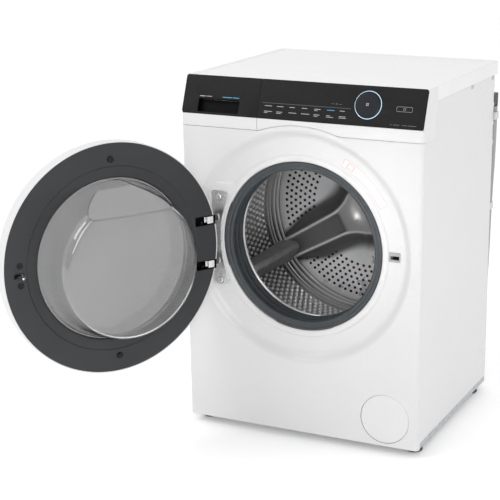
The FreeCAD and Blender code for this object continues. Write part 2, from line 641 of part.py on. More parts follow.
AT_PUMP = ("filter_x", "filter_z")
node(cut(fuse(rod("y", "pump_r", behind(22), behind(190), AT_PUMP),
              box(("filter_x - 30", "filter_x + 30"), (behind(30), behind(180)),
                  ("base_z + 2", "filter_z"))),
         rod("y", "filter_r + run_gap", behind(21), behind(110), AT_PUMP),
         rod("y", "impeller_r + 4", behind(109), behind(138), AT_PUMP),
         rod("y", "3 + run_gap", behind(137), behind(166), AT_PUMP),
         rod("z", "inlet_bore_r", "filter_z + 20", "filter_z + pump_r + 5",
             ("filter_x", behind("sump_depth"))),
         rod("y", "inlet_bore_r", behind(120), behind(150), ("filter_x", "filter_z + 8"))), "pump_housing")
node(fuse(rod("y", "impeller_r", behind(116), behind(128), AT_PUMP),
          rod("y", "3", behind(128), behind(160), AT_PUMP)),
     "pump_impeller")
node(fuse(rod("y", "filter_r", behind(24), behind(104), AT_PUMP),
          rod("y", "30", behind(15), behind(21.6), AT_PUMP),
          rod("y", "filter_r", behind(21.6), behind(24), AT_PUMP),
          box(("filter_x - 3", "filter_x + 3"), (behind(5), behind(15)),
              ("filter_z - 24", "filter_z + 24"))),
     "pump_filter")
node(rod("y", "cover_disc_r", behind(0.2), behind(3.2), AT_PUMP), "filter_cover")

# ---------------------------------------------------------------- rear fittings

node(fuse(box(("inlet_x - valve_half", "inlet_x + valve_half"), ("rear_y - 62", "rear_y - 6"),
              ("inlet_z - valve_half", "inlet_z + valve_half")),
          rod("y", "inlet_r + 5", "rear_y - 6", "rear_y - steel", ("inlet_x", "inlet_z")),
          cut(rod("y", "inlet_r", "rear_y - steel", "rear_y + 18", ("inlet_x", "inlet_z")),
              rod("y", "inlet_r - 3", "rear_y + 4", "rear_y + 19", ("inlet_x", "inlet_z")))), "inlet_valve")
node(cut(fuse(rod("y", "8.9", "rear_y - 8", "rear_y", ("cord_x", "cord_z")),
              rod("y", "13", "rear_y", "rear_y + 6",
                                                                           ("cord_x", "cord_z"))),
         rod("y", "4", "rear_y - 9", "rear_y + 7", ("cord_x", "cord_z"))), "power_cord_gland")

HOSE_ROUTE = [(288, 260, 738), (288, 260, 640), (282, 260, 500), (280, 260, 350), (274, 260, 196),
              (206, 260, 116),
              (104, 260, 113), (36, 260, 186), (34, 260, 330), (41, 260, 470), (44, 260, 590),
              (44, 260, 668)]
ARC_SHARE = 0.45


def hose_path(points):
    """Straight runs joined by tangent arcs, each arc as large as its two runs allow."""
    spots = [Vector(*point) for point in points]
    edges = []
    start = spots[0]
    for before, corner, after in zip(spots, spots[1:], spots[2:]):
        back = (before - corner).normalize()
        ahead = (after - corner).normalize()
        half_turn = (math.pi - back.getAngle(ahead)) / 2
        leg = ARC_SHARE * min((before - corner).Length, (after - corner).Length)
        radius = leg / math.tan(half_turn)
        centre = corner + (back + ahead).normalize() * (radius / math.cos(half_turn))
        middle = centre + (corner - centre).normalize() * radius
        arc_start = corner + back * leg
        arc_end = corner + ahead * leg
        print(f"hose bend radius {radius:.0f} mm, turn {math.degrees(2 * half_turn):.1f} degrees")
        edges.append(Part.LineSegment(start, arc_start).toShape())
        edges.append(Part.Arc(arc_start, middle, arc_end).toShape())
        start = arc_end
    edges.append(Part.LineSegment(start, spots[-1]).toShape())
    return Part.Wire(edges)


def drain_hose():
    path = hose_path(HOSE_ROUTE)
    first = Vector(*HOSE_ROUTE[0])
    heading = Vector(*HOSE_ROUTE[1]) - first
    radius = value("hose_r")
    section = Part.Wire(Part.makeCircle(radius, first, heading))
    item = doc.addObject("Part::Feature", "Hose")
    item.Shape = path.makePipeShell([section], True, False)
    item.Placement = Placement()
    stated = math.pi * radius ** 2 * path.Length
    print(f"hose length {path.Length:.1f} mm, volume ratio {item.Shape.Volume / stated:.4f}")
    return node(item, "drain_hose")


drain_hose()
node(fuse(box(("hose_x - 14", "hose_x + 9"), ("rear_y", "hose_y + 10"), ("742", "770")),
          rod("z", "hose_r", "738", "742", ("hose_x", "hose_y"))), "drain_hose_elbow")
node(cut(rod("z", "12", "cuff_low", "cuff_low + 44", ("cuff_x", "hose_y")),
         rod("z", "7.5", "cuff_low + 4", "cuff_low + 45", ("cuff_x", "hose_y"))),
     "hose_end_cuff")


def hose_clips():
    clips = []
    for across, level in ((287.6, 716), (281, 486), (44, 690)):
        block = box((f"{across} - 15", f"{across} + 14"), ("rear_y", "hose_y + 4"),
                    (f"{level} - 9", f"{level} + 9"))
        clips.append(cut(block, rod("z", "hose_r + 1.4", f"{level} - 10", f"{level} + 10",
                                    (f"{across}", "hose_y"))))
    return node(fuse(*clips), "hose_clips")


hose_clips()

# ---------------------------------------------------------------- hinge and lock on the cabinet


def door_hinge():
    """Fixed hinge casting: a waisted plate on the dish and two bent arms that carry the pins."""
    plate_front = behind("dish_depth - plate_thick")
    right_side = [("-194", "-plate_half"), ("-209", "-plate_shoulder"), ("-209.5", "-plate_waist"),
                  ("-215", "0"),
                  ("-209.5", "plate_waist"), ("-209", "plate_shoulder"), ("-194", "plate_half")]
    left_side = [("-224", "plate_half"), ("-227", "0"), ("-224", "-plate_half")]
    outline_points = [(across, f"port_z + {up}") for across, up in right_side + left_side]
    body = new_body()
    sketch = outline(body, "XZ_Plane", outline_points)
    pad = body.newObject("PartDesign::Pad", "Plate")
    pad.Profile = (sketch, [""])
    pad.Reversed = True
    bind(pad, Length="plate_thick")
    place(body, y=plate_front)
    tilt = math.radians(value("door_open") - 90)
    reach, arm_half = 14, 4
    pin = Vector(value("hinge_x"), value("front_y + hinge_in"), 0)
    out = Vector(math.cos(tilt), -math.sin(tilt), 0)
    elbow = pin + out * reach
    foot = Vector(value("hinge_foot_x"), value(plate_front), 0)
    side = (foot - elbow).normalize()
    over = Vector(side.y, -side.x, 0)
    solids = []
    for level in (-1, 1):
        low = value(f"port_z + {level} * arm_z - arm_high / 2")
        corners = [pin - out * 6 - side * 5, pin - out * 6 + side * 5,
                   elbow - over * arm_half + side * arm_half,
                   foot - over * arm_half, foot + over * arm_half, elbow + over * arm_half - side * arm_half]
        wire = Part.makePolygon([corner + Vector(0, 0, low) for corner in corners + corners[:1]])
        solids.append(Part.Face(wire).extrude(Vector(0, 0, value("arm_high"))))
    arms = doc.addObject("Part::Feature", "Arms")
    arms.Shape = Part.makeCompound(solids)
    bores = rod("z", "pin_r + run_gap", "port_z - arm_z - arm_high", "port_z + arm_z + arm_high",
                ("hinge_x", "front_y + hinge_in"))
    return node(cut(fuse(body, arms), bores), "door_hinge")


door_hinge()


def door_lock():
    """Interlock behind the dish, with the slotted plate that the hook enters."""
    plate = box(("lock_left", "lock_right"), (behind("dish_depth - 1.6"), behind("dish_depth")),
                ("lock_low", "lock_high"))
    case = box(("lock_left + 1", "lock_right - 0.5"), (behind("dish_depth"), behind(52)),
               ("lock_low + 1", "lock_high - 1"))
    slot = box(("hook_x - 8", "hook_x + 15"), (behind(0), behind(44)),
               ("port_z - lock_slot_half", "port_z + lock_slot_half"))
    return node(cut(fuse(plate, case), slot), "door_lock")


door_lock()

# ---------------------------------------------------------------- door, built closed and then swung open

DOOR_NODES = []
SLOT_END = "208"


def door_node(item, label):
    DOOR_NODES.append(node(item, label))
    return item


def hinge_slots(low, high):
    """Slots for the hinge arms, open at the door's rim."""
    return [box(("-door_r - 5", f"-{SLOT_END}"), (behind(low), behind(high)),
                (f"port_z + {level} * arm_z - slot_high / 2", f"port_z + {level} * arm_z + slot_high / 2"))
            for level in (-1, 1)]


FACE_BACK = "door_face - door_thick"
door_node(cut(revolved([("door_face", "door_r"), ("door_face - 28", "door_r"),
                        (f"{FACE_BACK} + 8", "door_r - 4"),
                        (f"{FACE_BACK} + 2", "door_r - 11"), (FACE_BACK, "door_r - 20"),
                        (FACE_BACK, "pane_r + 0.4"),
                        (f"{FACE_BACK} + skin", "pane_r + 0.4"), (f"{FACE_BACK} + skin", "door_r - 20"),
                        (f"{FACE_BACK} + 10", "door_r - 8"), ("door_face - 28", "door_r - skin"),
                        ("door_face", "door_r - skin")]),
              *hinge_slots("door_face - slot_deep", "door_face + 5")), "door_shell")
door_node(revolved([(FACE_BACK, "0.01"), (FACE_BACK, "pane_r"), (f"{FACE_BACK} + 4", "pane_r"),
                    (f"{FACE_BACK} + 4", "0.01")]), "door_window")
door_node(cut(revolved([("door_face", "ring_r"), ("door_face", "211"), ("door_face - 1.5", "208"),
                        ("door_face - 1.5", "window_r + 4"), ("door_face - 4", "window_r"),
                        ("door_face - 7", "window_r"), ("door_face - 7", "window_r + 3"),
                        ("door_face - 3.5", "window_r + 6"), ("door_face - 3.5", "208"),
                        ("door_face - 2.5", "212"),
                        ("door_face - 2.5", "ring_r")]),
              *hinge_slots("door_face - slot_deep", "door_face + 5"),
              box(("hook_x - 8", "hook_x + 14"), (behind(-10), behind(10)),
                  ("port_z - lock_slot_half", "port_z + lock_slot_half"))),
          "door_ring")
door_node(revolved([("door_face - 12", "flange_r"), ("door_face - 7.5", "flange_r"),
                    ("door_face - 7.5", "182"),
                    ("door_face", "181"), ("20", "174.5"), ("60", "168"), ("bowl_deep - 14", "163"),
                    ("bowl_deep - 4", "bowl_r + 1"), ("bowl_deep", "bowl_r - 8"), ("bowl_deep", "0.01"),
                    ("bowl_deep - glass_wall", "0.01"), ("bowl_deep - glass_wall", "bowl_r - 10"),
                    ("bowl_deep - 8", "bowl_r - 4"), ("bowl_deep - 16", "159"), ("60", "164"),
                    ("20", "170.5"),
                    ("door_face", "177"), ("door_face - 12", "178")]), "door_glass")
door_node(fuse(rod("y", "7", behind("door_face"), behind("door_face + 5"), ("0", "port_z + buffer_r")),
               rod("y", "7", behind("door_face"), behind("door_face + 5"), ("0", "port_z - buffer_r"))),
          "door_buffers")
door_node(fuse(rod("y", "cap_r", behind("door_face"), behind("door_face + 0.8"),
                   ("hook_x", "port_z + cap_up")),
               rod("y", "cap_r", behind("door_face"), behind("door_face + 0.8"),
                   ("hook_x", "port_z - cap_up"))),
          "latch_screw_caps")
door_node(rod("z", "pin_r", "port_z - 78", "port_z + 78", ("hinge_x", "front_y + hinge_in")), "hinge_pin")


def hinge_bracket():
    """Steel bracket inside the door that holds the pin above, between and below the arms."""
    y = (behind("hinge_in - 8"), behind("hinge_in + 6"))
    blocks = []
    for low, high in (("port_z + 66", "port_z + 76"), ("port_z - 40", "port_z + 40"),
                      ("port_z - 76", "port_z - 66")):
        blocks.append(box(("hinge_x - 6", "hinge_x + 9"), y, (low, high)))
    return door_node(cut(fuse(*blocks), rod("z", "pin_r", "port_z - 90", "port_z + 90",
                                            ("hinge_x", "front_y + hinge_in"))), "hinge_bracket")


hinge_bracket()
HOOK_PIN_IN = -14
door_node(fuse(extruded("XY_Plane", [("hook_x - 4", behind(HOOK_PIN_IN - 6)),
                                     ("hook_x + 9", behind(HOOK_PIN_IN - 6)),
                                    ("hook_x + 9", behind(0)), ("hook_x + 5", behind(18)),
                                    ("hook_x + 5", behind("tray_front")),
                                    ("hook_x + 2", behind(28)), ("hook_x - 5", behind(22)),
                                    ("hook_x - 5", behind(20)),
                                    ("hook_x + 1", behind(19)), ("hook_x + 1", behind(0))],
                       "hook_thick", z="port_z - hook_thick / 2"),
               rod("z", "2.5", "port_z - 9", "port_z + 9", ("hook_x + 4", behind(HOOK_PIN_IN)))),
               "latch_hook")
doc.recompute()

# ---------------------------------------------------------------- open the door


def swing(item, angle):
    """Wrap a closed door piece in a compound that is turned open about the hinge pin."""
    opened = doc.addObject("Part::Compound", "Opened")
    opened.Links = [item]
    axis = Vector(value("hinge_x"), value("front_y + hinge_in"), 0)
    opened.Placement = Placement(Vector(), Rotation(Vector(0, 0, 1), -angle), axis)
    label = item.Label
    item.Label = f"{label} closed"
    opened.Label = label
    return opened


for piece in DOOR_NODES:
    NODES[NODES.index(piece)] = swing(piece, value("door_open"))
doc.recompute()

broken = [item.Label for item in doc.Objects if "Invalid" in item.State or "Error" in item.State]
empty = []
for item in NODES:
    if item.Shape.isNull() or not item.Shape.isValid() or item.Shape.Volume < 1:
        empty.append(item.Label)
if broken or empty:
    raise RuntimeError(f"failed objects: {broken}; empty or invalid sub-parts: {empty}")
os.makedirs("parts", exist_ok=True)
for item in NODES:
    item.Shape.exportStep(f"parts/{item.Label}.step")
print(f"{len(NODES)} sub-parts written")
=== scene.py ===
"""Looks of a front load washing machine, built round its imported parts.

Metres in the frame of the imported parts: origin on the floor at the centre of the footprint, +Z up, +Y to
the rear and +X to the right of somebody who faces the machine. Sizes in the classes below are millimetres.
"""

import logging
import math
from collections.abc import Callable, Iterable, Sequence
from dataclasses import dataclass, field
from enum import Enum

import bmesh
import bpy
from mathutils import Matrix, Vector


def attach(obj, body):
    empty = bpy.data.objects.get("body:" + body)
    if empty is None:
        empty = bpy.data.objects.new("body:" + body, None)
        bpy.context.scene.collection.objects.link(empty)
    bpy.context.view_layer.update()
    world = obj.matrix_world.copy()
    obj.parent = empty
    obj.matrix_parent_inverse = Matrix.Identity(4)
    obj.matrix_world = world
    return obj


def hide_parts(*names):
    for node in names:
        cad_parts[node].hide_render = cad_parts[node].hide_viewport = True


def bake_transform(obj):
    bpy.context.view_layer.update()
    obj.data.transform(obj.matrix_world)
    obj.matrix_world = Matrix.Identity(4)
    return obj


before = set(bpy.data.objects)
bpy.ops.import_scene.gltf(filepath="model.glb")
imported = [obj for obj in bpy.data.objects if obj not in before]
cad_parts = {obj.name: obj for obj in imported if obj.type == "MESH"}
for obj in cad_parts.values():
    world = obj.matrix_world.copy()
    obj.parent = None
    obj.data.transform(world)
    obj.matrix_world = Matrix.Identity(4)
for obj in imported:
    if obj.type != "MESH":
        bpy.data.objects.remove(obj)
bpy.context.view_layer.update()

LOG = logging.getLogger("washer")
MM = 0.001
FRONT = -265.0
PORT_Z = 471.5
# name of the stored vertex colour that paints light and shade into the drum steel's base colour
PAINTED_SHADE = "shade"
TURN = 2 * math.pi
Profile = Sequence[tuple[float, float]]
Colour = tuple[float, float, float]


class Axis(Enum):
    """The three axes of the frame, as unit vectors."""

    X = Vector((1, 0, 0))
    Y = Vector((0, 1, 0))
    Z = Vector((0, 0, 1))


# ------------------------------------------------------------------ finishes


class Wiring:
    """A material's node tree with the few patterns that the finishes share."""

    def __init__(self, name: str) -> None:
        """Start an empty material round one Principled shader."""
        self.material = bpy.data.materials.new(name)
        self.material.use_nodes = True
        self.tree = self.material.node_tree
        self.shader = self.tree.nodes["Principled BSDF"]

    def add(self, kind: str, **settings: object) -> bpy.types.Node:
        """Add a node and set its properties."""
        node = self.tree.nodes.new(kind)
        for key, setting in settings.items():
            setattr(node, key, setting)
        return node

    def link(self, source: bpy.types.NodeSocket, target: bpy.types.NodeSocket) -> None:
        """Join two sockets."""
        self.tree.links.new(source, target)

    def fixed(self, **sockets: object) -> None:
        """Set plain values on the shader's own sockets, named with _ for a space."""
        for name, setting in sockets.items():
            self.shader.inputs[name.replace("_", " ")].default_value = setting

    def place(self, stretch: Colour = (1, 1, 1), turn: Colour = (0, 0, 0)) -> bpy.types.NodeSocket:
        """Object coordinates in metres, scaled along each axis and turned."""
        spots = self.add("ShaderNodeTexCoord")
        mapping = self.add("ShaderNodeMapping")
        mapping.inputs["Scale"].default_value = stretch
        mapping.inputs["Rotation"].default_value = turn
        self.link(spots.outputs["Object"], mapping.inputs["Vector"])
        return mapping.outputs["Vector"]

    def noise(self, scale: float, detail: float = 3, stretch: Colour = (1, 1, 1)) -> bpy.types.NodeSocket:
        """Fractal noise over the piece.

        Args:
            scale: Features per metre.
            detail: Octaves.
            stretch: Extra scale along each axis, for grain that runs one way.

        Returns:
            The noise's factor.
        """
        node = self.add("ShaderNodeTexNoise")
        node.inputs["Scale"].default_value = scale
        node.inputs["Detail"].default_value = detail
        self.link(self.place(stretch), node.inputs["Vector"])
        return node.outputs["Fac"]

    def cells(self, scale: float, stretch: Colour = (1, 1, 1)) -> bpy.types.NodeSocket:
        """Distance to the nearest point of a Voronoi pattern."""
        node = self.add("ShaderNodeTexVoronoi")
        node.inputs["Scale"].default_value = scale
        self.link(self.place(stretch), node.inputs["Vector"])
        return node.outputs["Distance"]

    def ramp(self, factor: bpy.types.NodeSocket, low: Colour, high: Colour, start: float = 0.35,
             end: float = 0.65) -> bpy.types.NodeSocket:
        """A colour that runs from low to high as the factor goes from start to end."""
        node = self.add("ShaderNodeValToRGB")
        node.color_ramp.elements[0].position = start
        node.color_ramp.elements[1].position = end
        node.color_ramp.elements[0].color = (*low, 1)
        node.color_ramp.elements[1].color = (*high, 1)
        self.link(factor, node.inputs["Fac"])
        return node.outputs["Color"]

    def span(self, factor: bpy.types.NodeSocket, low: float, high: float) -> bpy.types.NodeSocket:
        """A number that runs from low to high over the useful middle of a noise."""
        node = self.add("ShaderNodeMapRange")
        for name, setting in (("From Min", 0.3), ("From Max", 0.7), ("To Min", low), ("To Max", high)):
            node.inputs[name].default_value = setting
        self.link(factor, node.inputs["Value"])
        return node.outputs["Result"]

    def bump(self, height: bpy.types.NodeSocket, distance: float, strength: float = 1.0,
             under: bpy.types.NodeSocket | None = None) -> bpy.types.NodeSocket:
        """A bumped normal; distance is the relief in metres and under is a normal to add it to."""
        node = self.add("ShaderNodeBump")
        node.inputs["Distance"].default_value = distance
        node.inputs["Strength"].default_value = strength
        self.link(height, node.inputs["Height"])
        if under is not None:
            self.link(under, node.inputs["Normal"])
        return node.outputs["Normal"]


@dataclass(frozen=True)
class Finish:
    """A moulded, painted, cast or rubber surface: mottled colour, uneven gloss and a fine relief.

    mottle and uneven are shares of the colour and of the gloss, relief is in metres and grain in features per
    metre.
    """

    name: str
    colour: Colour
    roughness: float
    metallic: float = 0.0
    coat: float = 0.0
    mottle: float = 0.03
    mottle_scale: float = 9.0
    uneven: float = 0.12
    grain: float = 900.0
    relief: float = 0.00002
    stretch: Colour = (1, 1, 1)
    glow: Colour | None = None
    glow_strength: float = 0.0
    specular: float = 0.5

    def build(self) -> bpy.types.Material:
        """Make the material."""
        made = Wiring(self.name)
        made.fixed(Metallic=self.metallic, Coat_Weight=self.coat, Coat_Roughness=0.08,
                   Specular_IOR_Level=self.specular)
        low = tuple(part * (1 - self.mottle) for part in self.colour)
        high = tuple(min(1.0, part * (1 + self.mottle)) for part in self.colour)
        patches = made.noise(self.mottle_scale, 4)
        made.link(made.ramp(patches, low, high), made.shader.inputs["Base Color"])
        gloss = made.noise(self.grain * 0.12, 3, self.stretch)
        rough = made.span(gloss, self.roughness * (1 - self.uneven), self.roughness * (1 + self.uneven))
        made.link(rough, made.shader.inputs["Roughness"])
        grain = made.noise(self.grain, 2, self.stretch)
        made.link(made.bump(grain, self.relief), made.shader.inputs["Normal"])
        if self.glow is not None:
            made.fixed(Emission_Color=(*self.glow, 1), Emission_Strength=self.glow_strength)
        return made.material


@dataclass(frozen=True)
class Steel:
    """Rolled or brushed steel with streaks along one way and a faint waviness; when shaded, a stored colour
    paints light and shade into its base colour.
    """

    name: str
    colour: Colour
    roughness: float
    stretch: Colour = (1, 1, 1)
    streak: float = 220.0
    wave: float = 0.0002
    anisotropy: float = 0.0
    dust: float = 0.0
    shaded: bool = False
    metallic: float = 1.0

    def build(self) -> bpy.types.Material:
        """Make the material."""
        made = Wiring(self.name)
        made.fixed(Metallic=self.metallic, Anisotropic=self.anisotropy)
        streaks = made.noise(self.streak, 3, self.stretch)
        dull = tuple(part * (0.86 - self.dust) for part in self.colour)
        colour = made.ramp(streaks, dull, self.colour)
        # painted light and shade: the stored shade colour multiplies the base colour, darker in valleys and
        # beside the lifters, lighter on ridges and rims
        if self.shaded:
            painted_shade_node = made.add("ShaderNodeAttribute")
            painted_shade_node.attribute_name = PAINTED_SHADE
            darkened = made.add("ShaderNodeVectorMath")
            darkened.operation = "MULTIPLY"
            made.link(colour, darkened.inputs[0])
            made.link(painted_shade_node.outputs["Color"], darkened.inputs[1])
            colour = darkened.outputs["Vector"]
        made.link(colour, made.shader.inputs["Base Color"])
        patches = made.noise(14, 3)
        made.link(made.span(patches, self.roughness * 0.75, self.roughness * 1.3),
                  made.shader.inputs["Roughness"])
        waves = made.bump(made.noise(22, 2), self.wave, 0.6)
        made.link(made.bump(streaks, 0.000015, 0.7, waves), made.shader.inputs["Normal"])
        return made.material


@dataclass(frozen=True)
class Galvanised:
    """Zinc-coated sheet with its flat crystals."""

    name: str
    colour: Colour = (0.52, 0.54, 0.55)

    def build(self) -> bpy.types.Material:
        """Make the material."""
        made = Wiring(self.name)
        made.fixed(Metallic=0.85)
        crystals = made.add("ShaderNodeTexVoronoi")
        crystals.inputs["Scale"].default_value = 70
        made.link(made.place(), crystals.inputs["Vector"])
        shade = made.add("ShaderNodeSeparateColor")
        made.link(crystals.outputs["Color"], shade.inputs["Color"])
        dark = tuple(part * 0.82 for part in self.colour)
        made.link(made.ramp(shade.outputs["Red"], dark, self.colour, 0.0, 1.0),
                  made.shader.inputs["Base Color"])
        made.link(made.span(shade.outputs["Green"], 0.34, 0.52), made.shader.inputs["Roughness"])
        made.link(made.bump(made.noise(500, 2), 0.00002), made.shader.inputs["Normal"])
        return made.material


@dataclass(frozen=True)
class Glass:
    """Clear or tinted glass with a trace of unevenness and smears."""

    name: str
    colour: Colour
    roughness: float = 0.015
    smear: float = 0.02
    ior: float = 1.47

    def build(self) -> bpy.types.Material:
        """Make the material."""
        made = Wiring(self.name)
        made.fixed(Transmission_Weight=1.0, IOR=self.ior)
        deep = tuple(part * 0.94 for part in self.colour)
        made.link(made.ramp(made.noise(6, 2), deep, self.colour), made.shader.inputs["Base Color"])
        smears = made.noise(30, 5, (1, 1, 3))
        made.link(made.span(smears, self.roughness, self.roughness + self.smear),
                  made.shader.inputs["Roughness"])
        made.link(made.bump(made.noise(9, 1), 0.00003, 0.3), made.shader.inputs["Normal"])
        return made.material


@dataclass(frozen=True)
class Concrete:
    """Cast concrete with pores and aggregate."""

    name: str

    def build(self) -> bpy.types.Material:
        """Make the material."""
        made = Wiring(self.name)
        grit = made.noise(120, 6)
        made.link(made.ramp(grit, (0.2, 0.19, 0.18), (0.42, 0.41, 0.38)), made.shader.inputs["Base Color"])
        made.link(made.span(grit, 0.8, 0.95), made.shader.inputs["Roughness"])
        pores = made.bump(made.cells(160), 0.0006, 0.5)
        made.link(made.bump(grit, 0.0004, 0.8, pores), made.shader.inputs["Normal"])
        return made.material


@dataclass(frozen=True)
class Board:
    """Green circuit board with its tracks."""

    name: str

    def build(self) -> bpy.types.Material:
        """Make the material."""
        made = Wiring(self.name)
        tracks = made.add("ShaderNodeTexBrick")
        tracks.inputs["Scale"].default_value = 90
        tracks.inputs["Color1"].default_value = (0.02, 0.12, 0.05, 1)
        tracks.inputs["Color2"].default_value = (0.03, 0.16, 0.06, 1)
        tracks.inputs["Mortar"].default_value = (0.25, 0.22, 0.06, 1)
        made.link(made.place(turn=(math.pi / 2, 0, 0)), tracks.inputs["Vector"])
        made.link(tracks.outputs["Color"], made.shader.inputs["Base Color"])
        made.link(made.span(made.noise(60), 0.3, 0.5), made.shader.inputs["Roughness"])
        made.link(made.bump(tracks.outputs["Fac"], 0.0001, 0.5), made.shader.inputs["Normal"])
        return made.material


ROUND_Y = (6, 260, 6)
FINISHES: dict[str, object] = {
    "enamel": Finish("white_enamel", (0.665, 0.665, 0.665), 0.34, coat=0.2, mottle=0.008, uneven=0.08,
                     grain=700,
                     relief=0.00003),
    "laminate": Finish("white_laminate", (0.77, 0.77, 0.77), 0.42, mottle=0.008, grain=1400, relief=0.00004),
    "moulding": Finish("white_moulding", (0.69, 0.69, 0.69), 0.38, mottle=0.008, grain=1100, relief=0.00003),
    "pale": Finish("pale_moulding", (0.58, 0.59, 0.60), 0.5, mottle=0.03, grain=1100, relief=0.00004),
    "fascia": Finish("fascia_black", (0.012, 0.012, 0.0125), 0.5, mottle=0.05, uneven=0.15, grain=1600,
                     relief=0.00002, specular=0.14),
    # near-black, darker than the fascia's own plastic: painted shade inside the finger slot and the hinge
    # slots
    "slot_shade_black": Finish("slot_shade_black", (0.003, 0.003, 0.003), 0.5, mottle=0.1, grain=900, specular=0.08),
    "dial": Finish("dial_black", (0.011, 0.013, 0.017), 0.32, mottle=0.05, grain=1800, relief=0.00002,
                   specular=0.2),
    "door_ring": Finish("door_black", (0.030, 0.031, 0.034), 0.42, mottle=0.06, uneven=0.2, grain=1500,
                        relief=0.00004, specular=0.35),
    "cap": Finish("cap_black", (0.007, 0.007, 0.008), 0.35, mottle=0.06, grain=1200, specular=0.25),
    "gasket": Finish("gasket_rubber", (0.044, 0.051, 0.056), 0.5, mottle=0.1, mottle_scale=14, uneven=0.25,
                     grain=700, relief=0.00008),
    "black": Finish("black_plastic", (0.018, 0.018, 0.019), 0.48, mottle=0.1, grain=1000, relief=0.00006),
    "hose": Finish("hose_grey", (0.33, 0.34, 0.35), 0.55, mottle=0.06, grain=500, relief=0.0001),
    "lock": Finish("lock_grey", (0.33, 0.33, 0.34), 0.4, mottle=0.06, grain=900, relief=0.00004),
    "valve": Finish("valve_white", (0.68, 0.68, 0.66), 0.4, mottle=0.04, grain=900, relief=0.00004),
    "copper": Finish("copper_iron", (0.42, 0.17, 0.07), 0.4, metallic=0.9, mottle=0.3, mottle_scale=60,
                     grain=400,
                     relief=0.0003, stretch=(1, 8, 1)),
    "rotor": Steel("rotor_steel", (0.3, 0.31, 0.32), 0.42, ROUND_Y),
    # drum and star steel: painted light and shade from the stored shade colour darken and lighten their base
    # colour
    "drum": Steel("drum_steel", (0.97, 0.97, 0.97), 0.2, (2, 150, 2), 40, 0.000004, shaded=True,
                  metallic=0.5),
    "star": Steel("star_steel", (0.97, 0.97, 0.97), 0.34, (30, 6, 30), 16, 0.000004, shaded=True,
                  metallic=0.45),
    "lifter": Finish("lifter_grey", (0.28, 0.28, 0.285), 0.5, metallic=0.1, mottle=0.12, mottle_scale=30,
                     grain=800, relief=0.00012),
    # near-black discs: painted shade where punched holes show the dark behind them
    "hole": Finish("hole_shade_black", (0.006, 0.006, 0.006), 0.6, mottle=0.2, grain=400),
    "casting": Steel("zinc_casting", (0.78, 0.78, 0.79), 0.34, (1, 1, 1), 160, 0.0002, 0, 0.08),
    "chrome": Steel("machined_steel", (0.72, 0.72, 0.72), 0.2, (8, 8, 60), 60, 0.0001),
    "galvanised": Galvanised("galvanised"),
    "concrete": Concrete("concrete"),
    "board": Board("board_green"),
    "clear": Glass("clear_glass", (0.90, 0.90, 0.90), 0.008, 0.01),
    "smoked": Glass("smoked_glass", (0.29, 0.29, 0.291), 0.01, 0.01),
    "glow": Finish("ring_light", (0.5, 0.7, 0.85), 0.4, mottle=0.05, glow=(0.6, 0.8, 0.95),
                   glow_strength=0.62),
    "print": Finish("print_grey", (0.42, 0.42, 0.43), 0.5, mottle=0.08, grain=2000),
    "print_dim": Finish("print_dim", (0.14, 0.14, 0.145), 0.5, mottle=0.1, grain=2000),
    "print_blue": Finish("print_blue", (0.07, 0.32, 0.52), 0.5, mottle=0.1, grain=2000),
    "print_red": Finish("print_red", (0.62, 0.13, 0.09), 0.5, mottle=0.08, grain=2000),
    "film": Finish("label_film", (0.82, 0.82, 0.82), 0.25, mottle=0.01, grain=1200, relief=0.00002),
    "seam": Finish("seam_grey", (0.30, 0.30, 0.31), 0.6, mottle=0.1, grain=900),
}
BUILT: dict[str, bpy.types.Material] = {}


def material(key: str) -> bpy.types.Material:
    """The built material of a finish, made once."""
    if key not in BUILT:
        BUILT[key] = FINISHES[key].build()
    return BUILT[key]


# ------------------------------------------------------------------ shaping


def spot(x: float, depth: float, z: float) -> Vector:
    """A point from millimetres, its depth measured behind the front plane."""
    return Vector((x, FRONT + depth, z)) * MM


def smooth(value: float, start: float, end: float) -> float:
    """A soft step from 0 at start to 1 at end."""
    share = max(0.0, min(1.0, (value - start) / (end - start)))
    return share * share * (3 - 2 * share)


def wire(work: bmesh.types.BMesh, points: Iterable[Vector], closed: bool = True) -> tuple[list, list]:
    """Lay a chain of edges through points.

    Returns:
        Its vertices and its edges.
    """
    verts = [work.verts.new(point) for point in points]
    ends = verts[1:] + verts[:1] if closed else verts[1:]
    return verts, [work.edges.new(pair) for pair in zip(verts, ends)]


def round_corners(work: bmesh.types.BMesh, verts: Sequence[bmesh.types.BMVert], radius: float,
                  segments: int = 3) -> None:
    """Round the corners of a chain of edges, radius in millimetres."""
    bmesh.ops.bevel(work, geom=list(verts), offset=radius * MM, offset_type="OFFSET", segments=segments,
                    profile=0.5, affect="VERTICES", clamp_overlap=True, material=-1)


def spun(profile: Profile, steps: int, radius: float = 0.0, segments: int = 3, closed: bool = True,
         centre: tuple[float, float] = (0.0, PORT_Z)) -> bmesh.types.BMesh:
    """Turn a profile into a ring about an axis along Y.

    Args:
        profile: Corners as (depth behind the front plane, radius).
        steps: Facets round the ring.
        radius: Rounding of the corners, 0 for none.
        segments: Facets of each rounding.
        closed: Whether the profile closes on itself.
        centre: The axis in x and z.

    Returns:
        The mesh in work, its faces outwards.
    """
    work = bmesh.new()
    verts, _ = wire(work, [spot(centre[0] + reach, depth, centre[1]) for depth, reach in profile], closed)
    if radius:
        round_corners(work, verts if closed else verts[1:-1], radius, segments)
    geometry = work.verts[:] + work.edges[:]
    bmesh.ops.spin(work, geom=geometry, cent=spot(centre[0], 0, centre[1]), axis=Axis.Y.value,
                   dvec=(0, 0, 0),
                   angle=TURN, steps=steps, use_merge=True, use_duplicate=False)
    bmesh.ops.remove_doubles(work, verts=work.verts, dist=1e-6)
    bmesh.ops.recalc_face_normals(work, faces=work.faces)
    return work


